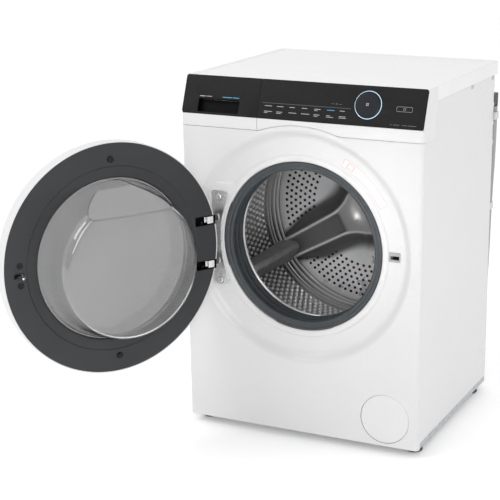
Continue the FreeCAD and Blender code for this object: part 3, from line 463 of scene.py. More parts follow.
def slab(outline: Sequence[Vector], along: Vector, radius: float = 0.0,
         segments: int = 4) -> bmesh.types.BMesh:
    """Extrude an outline into a solid.

    Args:
        outline: Corners in metres, in one plane.
        along: The extrusion in metres.
        radius: Rounding of the outline's corners in millimetres.
        segments: Facets of each rounding.

    Returns:
        The mesh in work, its faces outwards.
    """
    work = bmesh.new()
    verts, _ = wire(work, outline)
    if radius:
        round_corners(work, verts, radius, segments)
    face = bmesh.ops.contextual_create(work, geom=work.edges[:])["faces"]
    grown = bmesh.ops.extrude_face_region(work, geom=face)["geom"]
    bmesh.ops.translate(work, vec=along, verts=[item for item in grown if isinstance(item,
                                                                                     bmesh.types.BMVert)])
    bmesh.ops.recalc_face_normals(work, faces=work.faces)
    return work


def block(x: tuple[float, float], depth: tuple[float, float], z: tuple[float, float]) -> bmesh.types.BMesh:
    """A box between two bounds on each axis, in millimetres."""
    work = bmesh.new()
    bmesh.ops.create_cube(work, size=1.0)
    size = Vector((x[1] - x[0], depth[1] - depth[0], z[1] - z[0])) * MM
    bmesh.ops.scale(work, vec=size, verts=work.verts)
    bmesh.ops.translate(work, vec=spot(sum(x) / 2, sum(depth) / 2, sum(z) / 2), verts=work.verts)
    return work


def rod(centre: Vector, radius: float, length: float, axis: Vector, steps: int = 32,
        tip: float | None = None) -> bmesh.types.BMesh:
    """A cylinder or cone from its first end's centre along an axis, in millimetres but for centre."""
    work = bmesh.new()
    bmesh.ops.create_cone(work, cap_ends=True, segments=steps, radius1=radius * MM,
                          radius2=(radius if tip is None else tip) * MM, depth=length * MM)
    bmesh.ops.translate(work, vec=Vector((0, 0, length * MM / 2)), verts=work.verts)
    bmesh.ops.transform(work, matrix=Matrix.Translation(centre) @ axis.to_track_quat("Z",
        "Y").to_matrix().to_4x4(),
                        verts=work.verts)
    return work


def merged(*works: bmesh.types.BMesh) -> bmesh.types.BMesh:
    """Put several meshes into the first one."""
    first = works[0]
    for other in works[1:]:
        holder = bpy.data.meshes.new("holder")
        other.to_mesh(holder)
        other.free()
        first.from_mesh(holder)
        bpy.data.meshes.remove(holder)
    return first


def edge_bevel(work: bmesh.types.BMesh, width: float, segments: int = 2, angle: float = 30.0,
               keep: Callable[[bmesh.types.BMEdge], bool] = lambda edge: True) -> None:
    """Bevel the edges that are sharper than an angle in degrees, width in millimetres."""
    work.normal_update()
    sharp = [edge for edge in work.edges
             if len(edge.link_faces) == 2 and edge.calc_face_angle(0) > math.radians(angle) and keep(edge)]
    bmesh.ops.bevel(work, geom=sharp, offset=width * MM, offset_type="OFFSET", segments=segments,
                    profile=0.5,
                    affect="EDGES", clamp_overlap=True, material=-1)


def face_forward(work: bmesh.types.BMesh, towards: Callable[[Vector], Vector]) -> None:
    """Turn an open sheet so that its faces look the way given for most of their area."""
    work.normal_update()
    score = sum(face.calc_area() * face.normal.dot(towards(face.calc_center_median())) for face in work.faces)
    if score < 0:
        bmesh.ops.reverse_faces(work, faces=work.faces[:])


@dataclass
class Part:
    """What a finished piece says of itself: its finish, its body and the nodes that it stands for."""

    name: str
    finish: str
    body: str
    replaces: tuple[str, ...] = ()
    slot: str | None = None
    soften: float = 0.0
    sheet: float = 0.0
    sharp: float = 35.0
    weigh: bool = True
    blend: tuple[str, str, Vector, Vector] | None = None

    def make(self, work: bmesh.types.BMesh) -> bpy.types.Object:
        """Turn the mesh in work into the piece's object.

        Args:
            work: The piece's mesh, in its place. It is freed.

        Returns:
            The object, dressed and riding on its body; a piece with a blend is baked in place and rides on
            none.
        """
        for face in work.faces:
            face.smooth = True
        mesh = bpy.data.meshes.new(self.name)
        work.to_mesh(mesh)
        work.free()
        mesh.materials.append(material(self.finish))
        if not self.soften:
            mesh.set_sharp_from_angle(angle=math.radians(self.sharp))
        piece = bpy.data.objects.new(self.name, mesh)
        bpy.context.scene.collection.objects.link(piece)
        if self.sheet:
            wall = piece.modifiers.new("Sheet", "SOLIDIFY")
            wall.thickness = self.sheet * MM
            wall.offset = -1
        if self.soften:
            edge = piece.modifiers.new("Edges", "BEVEL")
            edge.width = self.soften * MM
            edge.segments = 2
            edge.limit_method = "ANGLE"
            edge.angle_limit = math.radians(self.sharp)
        if self.weigh:
            weighted = piece.modifiers.new("Shading", "WEIGHTED_NORMAL")
            weighted.keep_sharp = True
        if self.blend is None:
            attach(piece, self.body)
        else:
            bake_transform(piece)
        if self.replaces:
            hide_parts(*self.replaces)
        LOG.info("%s: %d faces, finish %s, body %s", self.name, len(mesh.polygons), self.finish, self.body)
        return piece


# ------------------------------------------------------------------ cabinet


@dataclass
class FrontPanel:
    """Pressed front: plate with an arched top edge, dished ring, porthole lip and raised hinge seat."""

    half_width: float = 297.5
    corner: float = 9.0
    low: float = 20.0
    high: float = 737.0
    arch: float = 283.0
    dish_steps: int = 512
    dish: tuple[tuple[float, float], ...] = (
        (0, 279), (0.15, 276.5), (0.9, 273.5), (2.6, 270.3), (5.2, 267), (8.2, 263.8), (11, 260.8),
        (13.2, 257.8),
        (14.7, 254.6), (15.5, 251), (15.8, 247), (15.9, 243), (16, 239), (16, 235), (16, 231.5), (16, 228),
        (16, 225), (16, 222.4), (16, 220), (16, 217.8), (15.9, 216.2), (15.2, 215), (13.4, 213.8),
        (12.6, 213),
        (12.4, 211.6), (12.4, 208), (12.5, 204.6), (12.9, 202.4), (13.9, 200.6), (15.6, 199.4), (18.5, 199),
        (26, 199))
    seat_x: tuple[float, float] = (-238.0, -90.0)
    seat_z: tuple[float, float] = (344.0, 606.0)
    seat_round: float = 26.0
    seat_depth: float = 12.4
    filter_spot: tuple[float, float] = (214.8, 86.7)
    filter_r: float = 60.0

    def seat_share(self, x: float, z: float) -> float:
        """How far a point of the dish belongs to the hinge seat, from 0 to 1."""
        middle_x, middle_z = sum(self.seat_x) / 2, sum(self.seat_z) / 2
        across = abs(x - middle_x) - (self.seat_x[1] - self.seat_x[0]) / 2 + self.seat_round
        up = abs(z - middle_z) - (self.seat_z[1] - self.seat_z[0]) / 2 + self.seat_round
        outside = math.hypot(max(across, 0), max(up, 0)) + min(max(across, up), 0) - self.seat_round
        return 1 - smooth(outside, -1.6, 2.4)

    def press_seat(self, work: bmesh.types.BMesh) -> None:
        """Raise the hinge seat in the dish."""
        near = [face for face in work.faces if face.calc_center_median().x < -0.12]
        edges = {edge for face in near for edge in face.edges}
        bmesh.ops.subdivide_edges(work, edges=list(edges), cuts=2, use_grid_fill=True)
        for vert in work.verts:
            x, z = vert.co.x / MM, vert.co.z / MM
            depth = vert.co.y / MM - FRONT
            if math.hypot(x, z - PORT_Z) > 213 and x < 0 and depth > self.seat_depth:
                vert.co.y -= (depth - self.seat_depth) * self.seat_share(x, z) * MM

    def outline(self) -> list[Vector]:
        """The plate's edge with its arched top."""
        side = self.half_width - self.corner
        reach = math.sqrt(self.arch ** 2 - (self.high - PORT_Z) ** 2)
        count = 36
        arch = [spot(x, 0, PORT_Z + math.sqrt(self.arch ** 2 - x ** 2))
                for x in (reach * (2 * step / count - 1) for step in range(1, count))]
        ease = [spot(-reach - 5, 0, self.high), spot(-reach + 2, 0, self.high + 0.9)]
        rest = [spot(reach - 2, 0, self.high + 0.9), spot(reach + 5, 0, self.high)]
        return [spot(-side, 0, self.low), spot(-side, 0, self.high), *ease, *arch, *rest,
                spot(side, 0, self.high),
                spot(side, 0, self.low)]

    def wrap_side(self, work: bmesh.types.BMesh, edge: bmesh.types.BMEdge, sign: int) -> None:
        """Roll one upright edge of the plate round the cabinet's corner."""
        centre = spot(sign * (self.half_width - self.corner), self.corner, 0)
        bent = bmesh.ops.spin(work, geom=[*edge.verts, edge], cent=centre, axis=Axis.Z.value * sign,
                              dvec=(0, 0, 0),
                              angle=TURN / 4, steps=6, use_merge=False, use_duplicate=False)["geom_last"]
        last = [item for item in bent if isinstance(item, bmesh.types.BMEdge)]
        grown = bmesh.ops.extrude_edge_only(work, edges=last)["geom"]
        verts = [item for item in grown if isinstance(item, bmesh.types.BMVert)]
        bmesh.ops.translate(work, vec=(0, 5.6 * MM, 0), verts=verts)

    def build(self) -> None:
        """Make the front panel."""
        work = spun(self.dish, self.dish_steps, closed=False)
        face_forward(work, lambda _: -Axis.Y.value)
        lock = [face for face in work.faces if 217 < face.calc_center_median().x / MM < 240
                and 464 < face.calc_center_median().z / MM < 481]
        bmesh.ops.delete(work, geom=lock, context="FACES")
        self.press_seat(work)
        rim = [edge for edge in work.edges if edge.is_boundary
               and all(math.hypot(v.co.x, v.co.z - PORT_Z * MM) > 0.2785 for v in edge.verts)]
        _, border = wire(work, self.outline())
        count = 96
        _, hole = wire(work, [spot(self.filter_spot[0] + self.filter_r * math.cos(TURN * step / count), 0,
                                   self.filter_spot[1] + self.filter_r * math.sin(TURN * step / count))
                              for step in range(count)])
        uprights = [min(border, key=lambda edge, s=sign: abs(edge.verts[0].co.x + edge.verts[1].co.x
                                                             - 2 * s * (self.half_width - self.corner) * MM))
                    for sign in (-1, 1)]
        filled = bmesh.ops.triangle_fill(work, use_beauty=True, use_dissolve=False,
                                         edges=rim + border + hole,
                                         normal=-Axis.Y.value)["geom"]
        flat = [item for item in filled if isinstance(item, bmesh.types.BMFace)]
        for face in flat:
            face.normal_update()
            if face.normal.y > 0:
                face.normal_flip()
        for sign, edge in zip((-1, 1), uprights):
            before = set(work.faces)
            self.wrap_side(work, edge, sign)
            for face in set(work.faces) - before:
                face.normal_update()
                if face.normal.dot(Vector((sign, -1, 0))) < 0:
                    face.normal_flip()
        lower = [edge for edge in work.edges if edge.is_boundary and all(abs(v.co.z - self.low * MM) < 1e-6
                                                                         for v in edge.verts)]
        grown = bmesh.ops.extrude_edge_only(work, edges=lower)["geom"]
        verts = [item for item in grown if isinstance(item, bmesh.types.BMVert)]
        for vert in verts:
            vert.co.y = max(vert.co.y, spot(0, 13, 0).y)
            vert.co.x *= 0.985
        sunk = spun(((0, self.filter_r), (5, self.filter_r), (5, self.filter_r - 14)), count, closed=False,
                    centre=self.filter_spot)
        face_forward(sunk, lambda _: -Axis.Y.value)
        work = merged(work, sunk)
        bmesh.ops.remove_doubles(work, verts=work.verts, dist=2e-6)
        Part("Front_Panel", "enamel", "cabinet", ("front_panel",), "white_enamel", sheet=1.2,
             sharp=50).make(work)


@dataclass
class SidePanel:
    """Side sheet with pressed stiffening ribs, drawn as a height map on a fine grid."""

    half_width: float = 297.5
    rows: int = 300
    columns: int = 190
    front: float = 15.4
    rear: float = 502.0
    low: float = 20.0
    high: float = 818.0
    ribs: tuple[tuple[float, float, float, float, float], ...] = (
        (500, 560, 232, 62, 128), (500, 560, 186, 62, 132), (500, 560, 140, 62, 140),
        (500, 560, 92, 72, 150),
        (500, 190, 120, 205, 285), (500, 190, 84, 210, 290))
    rib_half: float = 7.0
    rib_high: float = 1.5

    def relief(self, depth: float, z: float) -> float:
        """Height of the pressed ribs at a point, in millimetres."""
        best = 0.0
        for centre, level, radius, start, end in self.ribs:
            angle = math.degrees(math.atan2(z - level, centre - depth)) % 360
            ends = 1 - max(smooth(start - angle, -4, 4), smooth(angle - end, -4, 4))
            off = abs(math.hypot(depth - centre, z - level) - radius)
            best = max(best, self.rib_high * (1 - smooth(off, self.rib_half * 0.25, self.rib_half)) * ends)
        return best

    def build(self, sign: int, name: str, node: str) -> None:
        """Make one side; sign is the side of the cabinet it closes."""
        work = bmesh.new()
        bmesh.ops.create_grid(work, x_segments=self.columns, y_segments=self.rows, size=0.5)
        bmesh.ops.scale(work, vec=Vector((self.rear - self.front, self.high - self.low, 0)) * MM,
                        verts=work.verts)
        middle = spot(sign * (self.half_width - 1.3), (self.front + self.rear) / 2,
                      (self.low + self.high) / 2)
        stand = Matrix.Translation(middle) @ Matrix(((0, 0, 1, 0), (1, 0, 0, 0), (0, 1, 0, 0), (0, 0, 0, 1)))
        bmesh.ops.transform(work, matrix=stand, verts=work.verts)
        for vert in work.verts:
            depth, z = vert.co.y / MM - FRONT, vert.co.z / MM
            vert.co.x += sign * self.relief(depth, z) * 0.85 * MM
            room = self.slope_depth(z)
            if depth < room:
                vert.co.y += (room - depth) * MM
        bmesh.ops.dissolve_degenerate(work, dist=1e-6, edges=work.edges)
        face_forward(work, lambda _: Vector((sign, 0, 0)))
        Part(name, "enamel", "cabinet", (node,), "white_enamel", sheet=1.0, sharp=60).make(work)

    def slope_depth(self, z: float) -> float:
        """Depth of the sheet's front edge, which follows the back of the sloping fascia."""
        return self.front + max(0.0, z - 764) * 0.42 + smooth(z, 737, 745) * 12


@dataclass
class Worktop:
    """Laminated top: a shallow sunk field inside a rounded border, thicker towards the rear."""

    half_width: float = 297.5
    front: float = 34.1
    rear: float = 530.0
    high: float = 850.0
    low: float = 818.0
    border: float = 19.0
    sunk: float = 2.2

    def build(self) -> None:
        """Make the worktop."""
        corners = [spot(-self.half_width, self.front, self.low), spot(self.half_width, self.front, self.low),
                   spot(self.half_width, self.rear, self.low), spot(-self.half_width, self.rear, self.low)]
        work = slab(corners, Vector((0, 0, self.high - self.low)) * MM)
        top = max(work.faces, key=lambda face: face.calc_center_median().z)
        inner = bmesh.ops.inset_region(work, faces=[top], thickness=self.border * MM, depth=0,
                                       use_boundary=True)
        ring = inner["faces"]
        for vert in top.verts:
            if vert.co.y < spot(0, self.front + self.border + 1, 0).y:
                vert.co.y = spot(0, self.front + 0.8, 0).y
        moved = bmesh.ops.inset_region(work, faces=[top], thickness=3.2 * MM, depth=0,
                                       use_boundary=True)["faces"]
        for vert in top.verts:
            vert.co.z -= self.sunk * MM
            if vert.co.y < spot(0, self.front + self.border, 0).y:
                vert.co.y = spot(0, self.front + 1.4, 0).y
        LOG.debug("worktop insets: %d, %d", len(ring), len(moved))
        upright = [edge for edge in work.edges
                   if abs(edge.verts[0].co.z - edge.verts[1].co.z) > 0.02
                    and min(v.co.y for v in edge.verts) > 0]
        bmesh.ops.bevel(work, geom=upright, offset=9 * MM, offset_type="OFFSET", segments=5, profile=0.5,
                        affect="EDGES", clamp_overlap=True, material=-1)
        rims = [edge for edge in work.edges
                if all(abs(v.co.z - self.high * MM) < 1e-6 for v in edge.verts) and len(edge.link_faces) == 2
                and edge.calc_face_angle(0) > 1.0 and max(v.co.y for v in edge.verts) > spot(0, 60, 0).y]
        bmesh.ops.bevel(work, geom=rims, offset=4.5 * MM, offset_type="OFFSET", segments=4, profile=0.5,
                        affect="EDGES", clamp_overlap=True, material=-1)
        Part("Worktop", "laminate", "cabinet", ("worktop",), "white_laminate", soften=0.5,
             sharp=40).make(work)


def up_face(x: float, up: float, out: float = 0.0) -> Vector:
    """A point on the sloping fascia from millimetres across, up the slope and out of it."""
    lean, rise = 33.5, 84.0
    length = math.hypot(lean, rise)
    return spot(x, (up * lean - out * rise) / length, 766 + (up * rise + out * lean) / length)


@dataclass
class Fascia:
    """Sloping black control face in two lengths, with the white band, dial, key and plain printed marks."""

    left: float = -297.5
    right: float = 297.5
    split: float = -103.0
    gap: float = 1.0
    length: float = 90.43
    thick: float = 3.2
    corner: float = 5.0
    slot_x: tuple[float, float] = (-256.4, -151.6)
    slot_up: tuple[float, float] = (5.2, 36.6)
    slot_deep: float = 14.6
    dial: tuple[float, float] = (161.4, 47.5)
    key: tuple[float, float] = (247.0, 43.3)
    out: Vector = field(default_factory=lambda: up_face(0, 0, 1) - up_face(0, 0, 0))

    def plate(self, corners: Sequence[tuple[float, float]], out: float, thick: float,
              radius: float) -> bmesh.types.BMesh:
        """A plate on the slope: its corners across and up the slope, its front's height and its thickness."""
        return slab([up_face(x, up, out) for x, up in corners], -self.out * thick, radius)

    def rectangle(self, x: tuple[float, float], up: tuple[float, float]) -> list[tuple[float, float]]:
        """The four corners of a rectangle on the slope."""
        return [(x[0], up[0]), (x[1], up[0]), (x[1], up[1]), (x[0], up[1])]

    def disc(self, centre: tuple[float, float], profile: Profile, steps: int,
             radius: float = 0.4) -> bmesh.types.BMesh:
        """A turned piece on the slope from (height out of the slope, radius) corners."""
        work = bmesh.new()
        verts, _ = wire(work, [Vector((reach, 0, out)) * MM for out, reach in profile])
        round_corners(work, verts, radius, 2)
        bmesh.ops.spin(work, geom=work.verts[:] + work.edges[:], cent=(0, 0, 0), axis=Axis.Z.value,
                       dvec=(0, 0, 0),
                       angle=TURN, steps=steps, use_merge=True, use_duplicate=False)
        bmesh.ops.remove_doubles(work, verts=work.verts, dist=1e-6)
        bmesh.ops.recalc_face_normals(work, faces=work.faces)
        normal = self.out.normalized()
        turn = Matrix((Axis.X.value, normal.cross(Axis.X.value), normal)).transposed().to_4x4()
        bmesh.ops.transform(work, matrix=Matrix.Translation(up_face(*centre)) @ turn, verts=work.verts)
        return work

    def panel(self) -> None:
        """The fixed length of the black face with its openings for the dial and the key."""
        left = self.split + self.gap / 2
        work = bmesh.new()
        corners = [(left, 0), (self.right - 5, 0), (self.right - 1.2, 6),
                   (self.right - 1.2, self.length - 4),
                   (self.right - 5, self.length), (left, self.length)]
        wire(work, [up_face(x, up) for x, up in corners])
        count = 128
        wire(work, [up_face(self.dial[0] + 31.7 * math.cos(TURN * step / count),
                            self.dial[1] + 31.7 * math.sin(TURN * step / count)) for step in range(count)])
        verts, _ = wire(work, [up_face(self.key[0] + x, self.key[1] + up)
                               for x, up in ((-19.3, -6.6), (19.3, -6.6), (19.3, 6.6), (-19.3, 6.6))])
        round_corners(work, verts, 3.0, 4)
        bmesh.ops.triangle_fill(work, use_beauty=True, use_dissolve=False, edges=work.edges[:],
                                normal=self.out)
        face_forward(work, lambda _: self.out)
        Part("Fascia_Panel", "fascia", "cabinet", ("fascia_panel",), "fascia_black",
             sheet=self.thick).make(work)

    def drawer_face(self) -> None:
        """The drawer's length of the black face with its finger slot."""
        right = self.split - self.gap / 2
        work = bmesh.new()
        corners = [(self.left + 5, 0), (right, 0), (right, self.length), (self.left + 5, self.length),
                   (self.left + 1.2, self.length - 4), (self.left + 1.2, 6)]
        wire(work, [up_face(x, up) for x, up in corners])
        verts, _ = wire(work, [up_face(x, up) for x, up in self.rectangle(self.slot_x, self.slot_up)])
        round_corners(work, verts, 2.5, 4)
        bmesh.ops.triangle_fill(work, use_beauty=True, use_dissolve=False, edges=work.edges[:],
                                normal=self.out)
        face_forward(work, lambda _: self.out)
        Part("Drawer_Front", "fascia", "drawer", ("drawer_front",), "fascia_black",
             sheet=self.thick).make(work)
        cup = bmesh.new()
        verts, _ = wire(cup, [up_face(x, up, -0.4) for x, up in self.rectangle(self.slot_x, self.slot_up)])
        round_corners(cup, verts, 2.5, 4)
        grown = bmesh.ops.extrude_edge_only(cup, edges=cup.edges[:])["geom"]
        verts = [item for item in grown if isinstance(item, bmesh.types.BMVert)]
        bmesh.ops.translate(cup, vec=-self.out * (self.slot_deep - 1), verts=verts)
        ends = [item for item in grown if isinstance(item, bmesh.types.BMEdge)]
        bmesh.ops.contextual_create(cup, geom=ends)
        centre = up_face(sum(self.slot_x) / 2, sum(self.slot_up) / 2, -4)
        face_forward(cup, lambda place: centre - place)
        # the cup is black plastic, and its near-black, darker than the fascia, paints the shade deep in the
        # slot
        Part("Drawer_Finger_Slot", "slot_shade_black", "drawer", (), "fascia_black", sheet=0.8).make(cup)

    def band(self) -> None:
        """White band under the black face, arched over the porthole, with its end cheek."""
        front = FrontPanel()
        lift = 0.9
        radius = front.arch + lift
        reach = math.sqrt(radius ** 2 - (front.high + lift - PORT_Z) ** 2)
        left = self.split + self.gap / 2
        count = 36
        arch = [spot(x, 0, PORT_Z + math.sqrt(radius ** 2 - x ** 2))
                for x in (reach * (2 * step / count - 1) for step in range(1, count))]
        side = front.half_width - front.corner
        outline = [spot(left, 0, 765.6), spot(left, 0, front.high + lift), *arch,
                   spot(reach + 5, 0, front.high + lift), spot(side, 0, front.high + lift),
                   spot(side, 0, 765.6)]
        work = bmesh.new()
        _, edges = wire(work, outline)
        upright = min(edges, key=lambda edge: abs(edge.verts[0].co.x + edge.verts[1].co.x - 2 * side * MM))
        bmesh.ops.triangle_fill(work, use_beauty=True, use_dissolve=False, edges=edges, normal=-Axis.Y.value)
        face_forward(work, lambda _: -Axis.Y.value)
        before = set(work.faces)
        front.wrap_side(work, upright, 1)
        for face in set(work.faces) - before:
            face.normal_update()
            if face.normal.dot(Vector((1, -1, 0))) < 0:
                face.normal_flip()
        Part("Control_Band", "moulding", "cabinet", ("control_carrier",), "white_moulding", sheet=2.4,
             sharp=50).make(work)
        drawer = bmesh.new()
        right = self.split - self.gap / 2
        outline = [spot(-side, 0, 765.6), spot(-side, 0, front.high + lift),
                   spot(right, 0, front.high + lift),
                   spot(right, 0, 765.6)]
        _, edges = wire(drawer, outline)
        bmesh.ops.triangle_fill(drawer, use_beauty=True, use_dissolve=False, edges=edges[:],
                                normal=-Axis.Y.value)
        face_forward(drawer, lambda _: -Axis.Y.value)
        before = set(drawer.faces)
        front.wrap_side(drawer, edges[0], -1)
        for face in set(drawer.faces) - before:
            face.normal_update()
            if face.normal.dot(Vector((-1, -1, 0))) < 0:
                face.normal_flip()
        Part("Drawer_Trim", "moulding", "drawer", ("drawer_trim",), "white_moulding", sheet=2.4,
             sharp=50).make(drawer)

    def cheek(self, sign: int, setback: float) -> None:
        """White end cheek that closes the slope's end on one side, down to the band."""
        inner, outer = sign * (self.right - 1.1), sign * (self.right + 0.35)
        corners = [(766.2, 1.0 + setback), (849.2, 34.2 + setback), (849.4, 86.0), (815, 86.0),
                   (738.2, 63.0),
                   (738.2, 9.4 + setback), (766.2, 9.4 + setback)]
        work = slab([spot(inner, depth, z) for z, depth in corners], Vector((outer - inner, 0, 0)) * MM)
        Part(f"End_Cheek_{'Right' if sign > 0 else 'Left'}", "moulding", "cabinet", (), "white_moulding",
             soften=0.3).make(work)

    def dial_and_key(self) -> None:
        """The program dial, its lit ring and the power key."""
        Part("Dial_Light_Ring", "glow", "cabinet", ("dial_light_ring",), "ring_light").make(
            self.disc(self.dial, ((0.5, 31.5), (0.5, 30.3), (-2.6, 30.3), (-2.6, 31.5)), 128, 0.15))
        work = self.disc(self.dial, ((5, 0), (5, 26.4), (4.2, 28.3), (2.6, 29.9), (-2, 29.9), (-2, 0)), 128)
        Part("Program_Dial", "dial", "dial", ("program_dial",), "fascia_black").make(work)
        marks = []
        for across in (-1, 1):
            for level in (-1, 1):
                x, up = self.dial[0] + across * 1.7, self.dial[1] + level * 1.7
                marks.append(self.plate(self.rectangle((x - 1.2, x + 1.2), (up - 1.2, up + 1.2)), 5.12, 0.3,
                                        0.3))
        Part("Dial_Mark", "print", "dial", (), "ring_light").make(merged(*marks))
        x, up = self.key
        key = self.plate(self.rectangle((x - 19, x + 19), (up - 6.3, up + 6.3)), 0.4, 3.6, 2.8)
        Part("Power_Key", "fascia", "key", ("power_key",), "fascia_black", soften=0.5).make(key)
        edge = self.plate(self.rectangle((x - 18.2, x + 18.2), (up - 5.6, up + 5.6)), 0.5, 0.2, 2.6)
        big = [face for face in edge.faces if face.calc_area() > 200 * MM * MM]
        bmesh.ops.inset_region(edge, faces=big, thickness=0.55 * MM, depth=0, use_boundary=True)
        bmesh.ops.delete(edge, geom=[face for face in edge.faces if face.calc_area() > 200 * MM * MM],
                         context="FACES")
        eye = self.disc(self.key, ((0.52, 2.9), (0.52, 2.35), (0.3, 2.35), (0.3, 2.9)), 32, 0.05)
        Part("Key_Outline", "print", "key", (), "fascia_black").make(merged(edge, eye))

    def marks(self) -> None:
        """Plain bars where captions stand: a rule, two rows and a few short ones, with no lettering."""
        def bar(x: float, up: float, wide: float, high: float = 1.3) -> bmesh.types.BMesh:
            """One bar that starts at x, with its middle at up."""
            return self.plate(self.rectangle((x, x + wide), (up - high / 2, up + high / 2)), 0.12, 0.2, 0.2)

        Part("Caption_Rule", "print_dim", "cabinet", (), "fascia_black").make(bar(-94, 36.4, 216, 0.7))
        columns = [-87 + 30.6 * number for number in range(7)]
        widths = ((18, 16, 13, 13, 15, 17, 12), (20, 15, 19, 20, 14, 9, 15))
        captions = [bar(x, 29.7, wide) for x, wide in zip(columns, widths[0]) if x != columns[5]]
        captions += [bar(columns[4], 26.6, 8, 1.1)]
        captions += [bar(x, 17.2, wide) for x, wide in zip(columns, widths[1])]
        captions += [bar(columns[number], 14.1, wide, 1.1) for number,
                     wide in ((0, 9), (1, 12), (4, 10), (5, 17), (6, 17))]
        Part("Captions", "print", "cabinet", (), "fascia_black").make(merged(*captions))
        Part("Caption_Blue", "print_blue", "cabinet", (), "fascia_black").make(bar(columns[5], 29.7, 18,
                                                                                   1.5))
        small = [bar(74, 44.6, 8, 0.7), bar(85, 44.8, 4, 1.6), bar(92, 44.6, 8, 0.7)]
        small += [bar(x, 8.2, wide, 1.0) for x, wide in ((218, 4), (226, 14), (246, 12), (260, 19))]
        Part("Caption_Small", "print_dim", "cabinet", (), "fascia_black").make(merged(*small))
        Part("Drawer_Caption", "print", "drawer", (), "fascia_black").make(
            merged(bar(-255, 41.6, 14, 1.6), bar(-239, 41.6, 15, 1.1)))
        Part("Drawer_Caption_Blue", "print_blue", "drawer", (), "fascia_black").make(
            merged(bar(-196, 41.6, 24, 1.6), bar(-170, 41.6, 16, 1.6)))

    def build(self) -> None:
        """Make every piece of the control face."""
        self.panel()
        self.drawer_face()
        self.band()
        self.cheek(1, 0.0)
        self.cheek(-1, 5.0)
        self.dial_and_key()
        self.marks()


@dataclass
class FilterCover:
    """Round plain cover over the pump filter, with a finger notch in its edge."""

    centre: tuple[float, float] = (214.8, 86.7)
    radius: float = 59.2

    def build(self) -> None:
        """Make the cover."""
        profile = ((0.2, 0), (0.2, 52), (0.9, self.radius - 1.2), (1.4, self.radius), (3.2, self.radius),
                   (3.2, 0))
        work = spun(profile, 160, 0.4, centre=self.centre)
        Part("Filter_Cover", "moulding", "filter_flap", ("filter_cover",), "white_moulding",
             sharp=40).make(work)


@dataclass
class Feet:
    """Levelling feet: ribbed pads on threaded studs."""

    half_x: float = 270.0
    rows: tuple[float, float] = (53.0, 460.0)

    def build(self) -> None:
        """Make the four feet."""
        feet = []
        for x in (-self.half_x, self.half_x):
            for depth in self.rows:
                pad = rod(spot(x, depth, 0), 17, 3, Axis.Z.value, 40, 20)
                feet += [pad, rod(spot(x, depth, 3), 20, 4, Axis.Z.value, 40, 19),
                         rod(spot(x, depth, 7), 14, 3, Axis.Z.value, 6),
                         rod(spot(x, depth, 10), 5, 22, Axis.Z.value, 20)]
        Part("Levelling_Feet", "black", "cabinet", ("levelling_feet",), "black_plastic", soften=0.6).make(
            merged(*feet))


# ------------------------------------------------------------------ door


def carve(work: bmesh.types.BMesh, *cutters: bmesh.types.BMesh) -> bmesh.types.BMesh:
    """Cut solids out of a solid.

    Args:
        work: The solid that is cut. It is freed.
        cutters: The solids to take away. They are freed.

    Returns:
        The cut mesh in work.
    """
    holders = []
    for source in (work, merged(*cutters)):
        mesh = bpy.data.meshes.new("holder")
        source.to_mesh(mesh)
        source.free()
        holder = bpy.data.objects.new("holder", mesh)
        bpy.context.scene.collection.objects.link(holder)
        holders.append(holder)
    cut = holders[0].modifiers.new("Cut", "BOOLEAN")
    cut.operation = "DIFFERENCE"
    cut.solver = "EXACT"
    cut.object = holders[1]
    seen = holders[0].evaluated_get(bpy.context.evaluated_depsgraph_get())
    result = bmesh.new()
    result.from_mesh(seen.to_mesh())
    for holder in holders:
        mesh = holder.data
        bpy.data.objects.remove(holder)
        bpy.data.meshes.remove(mesh)
    return result


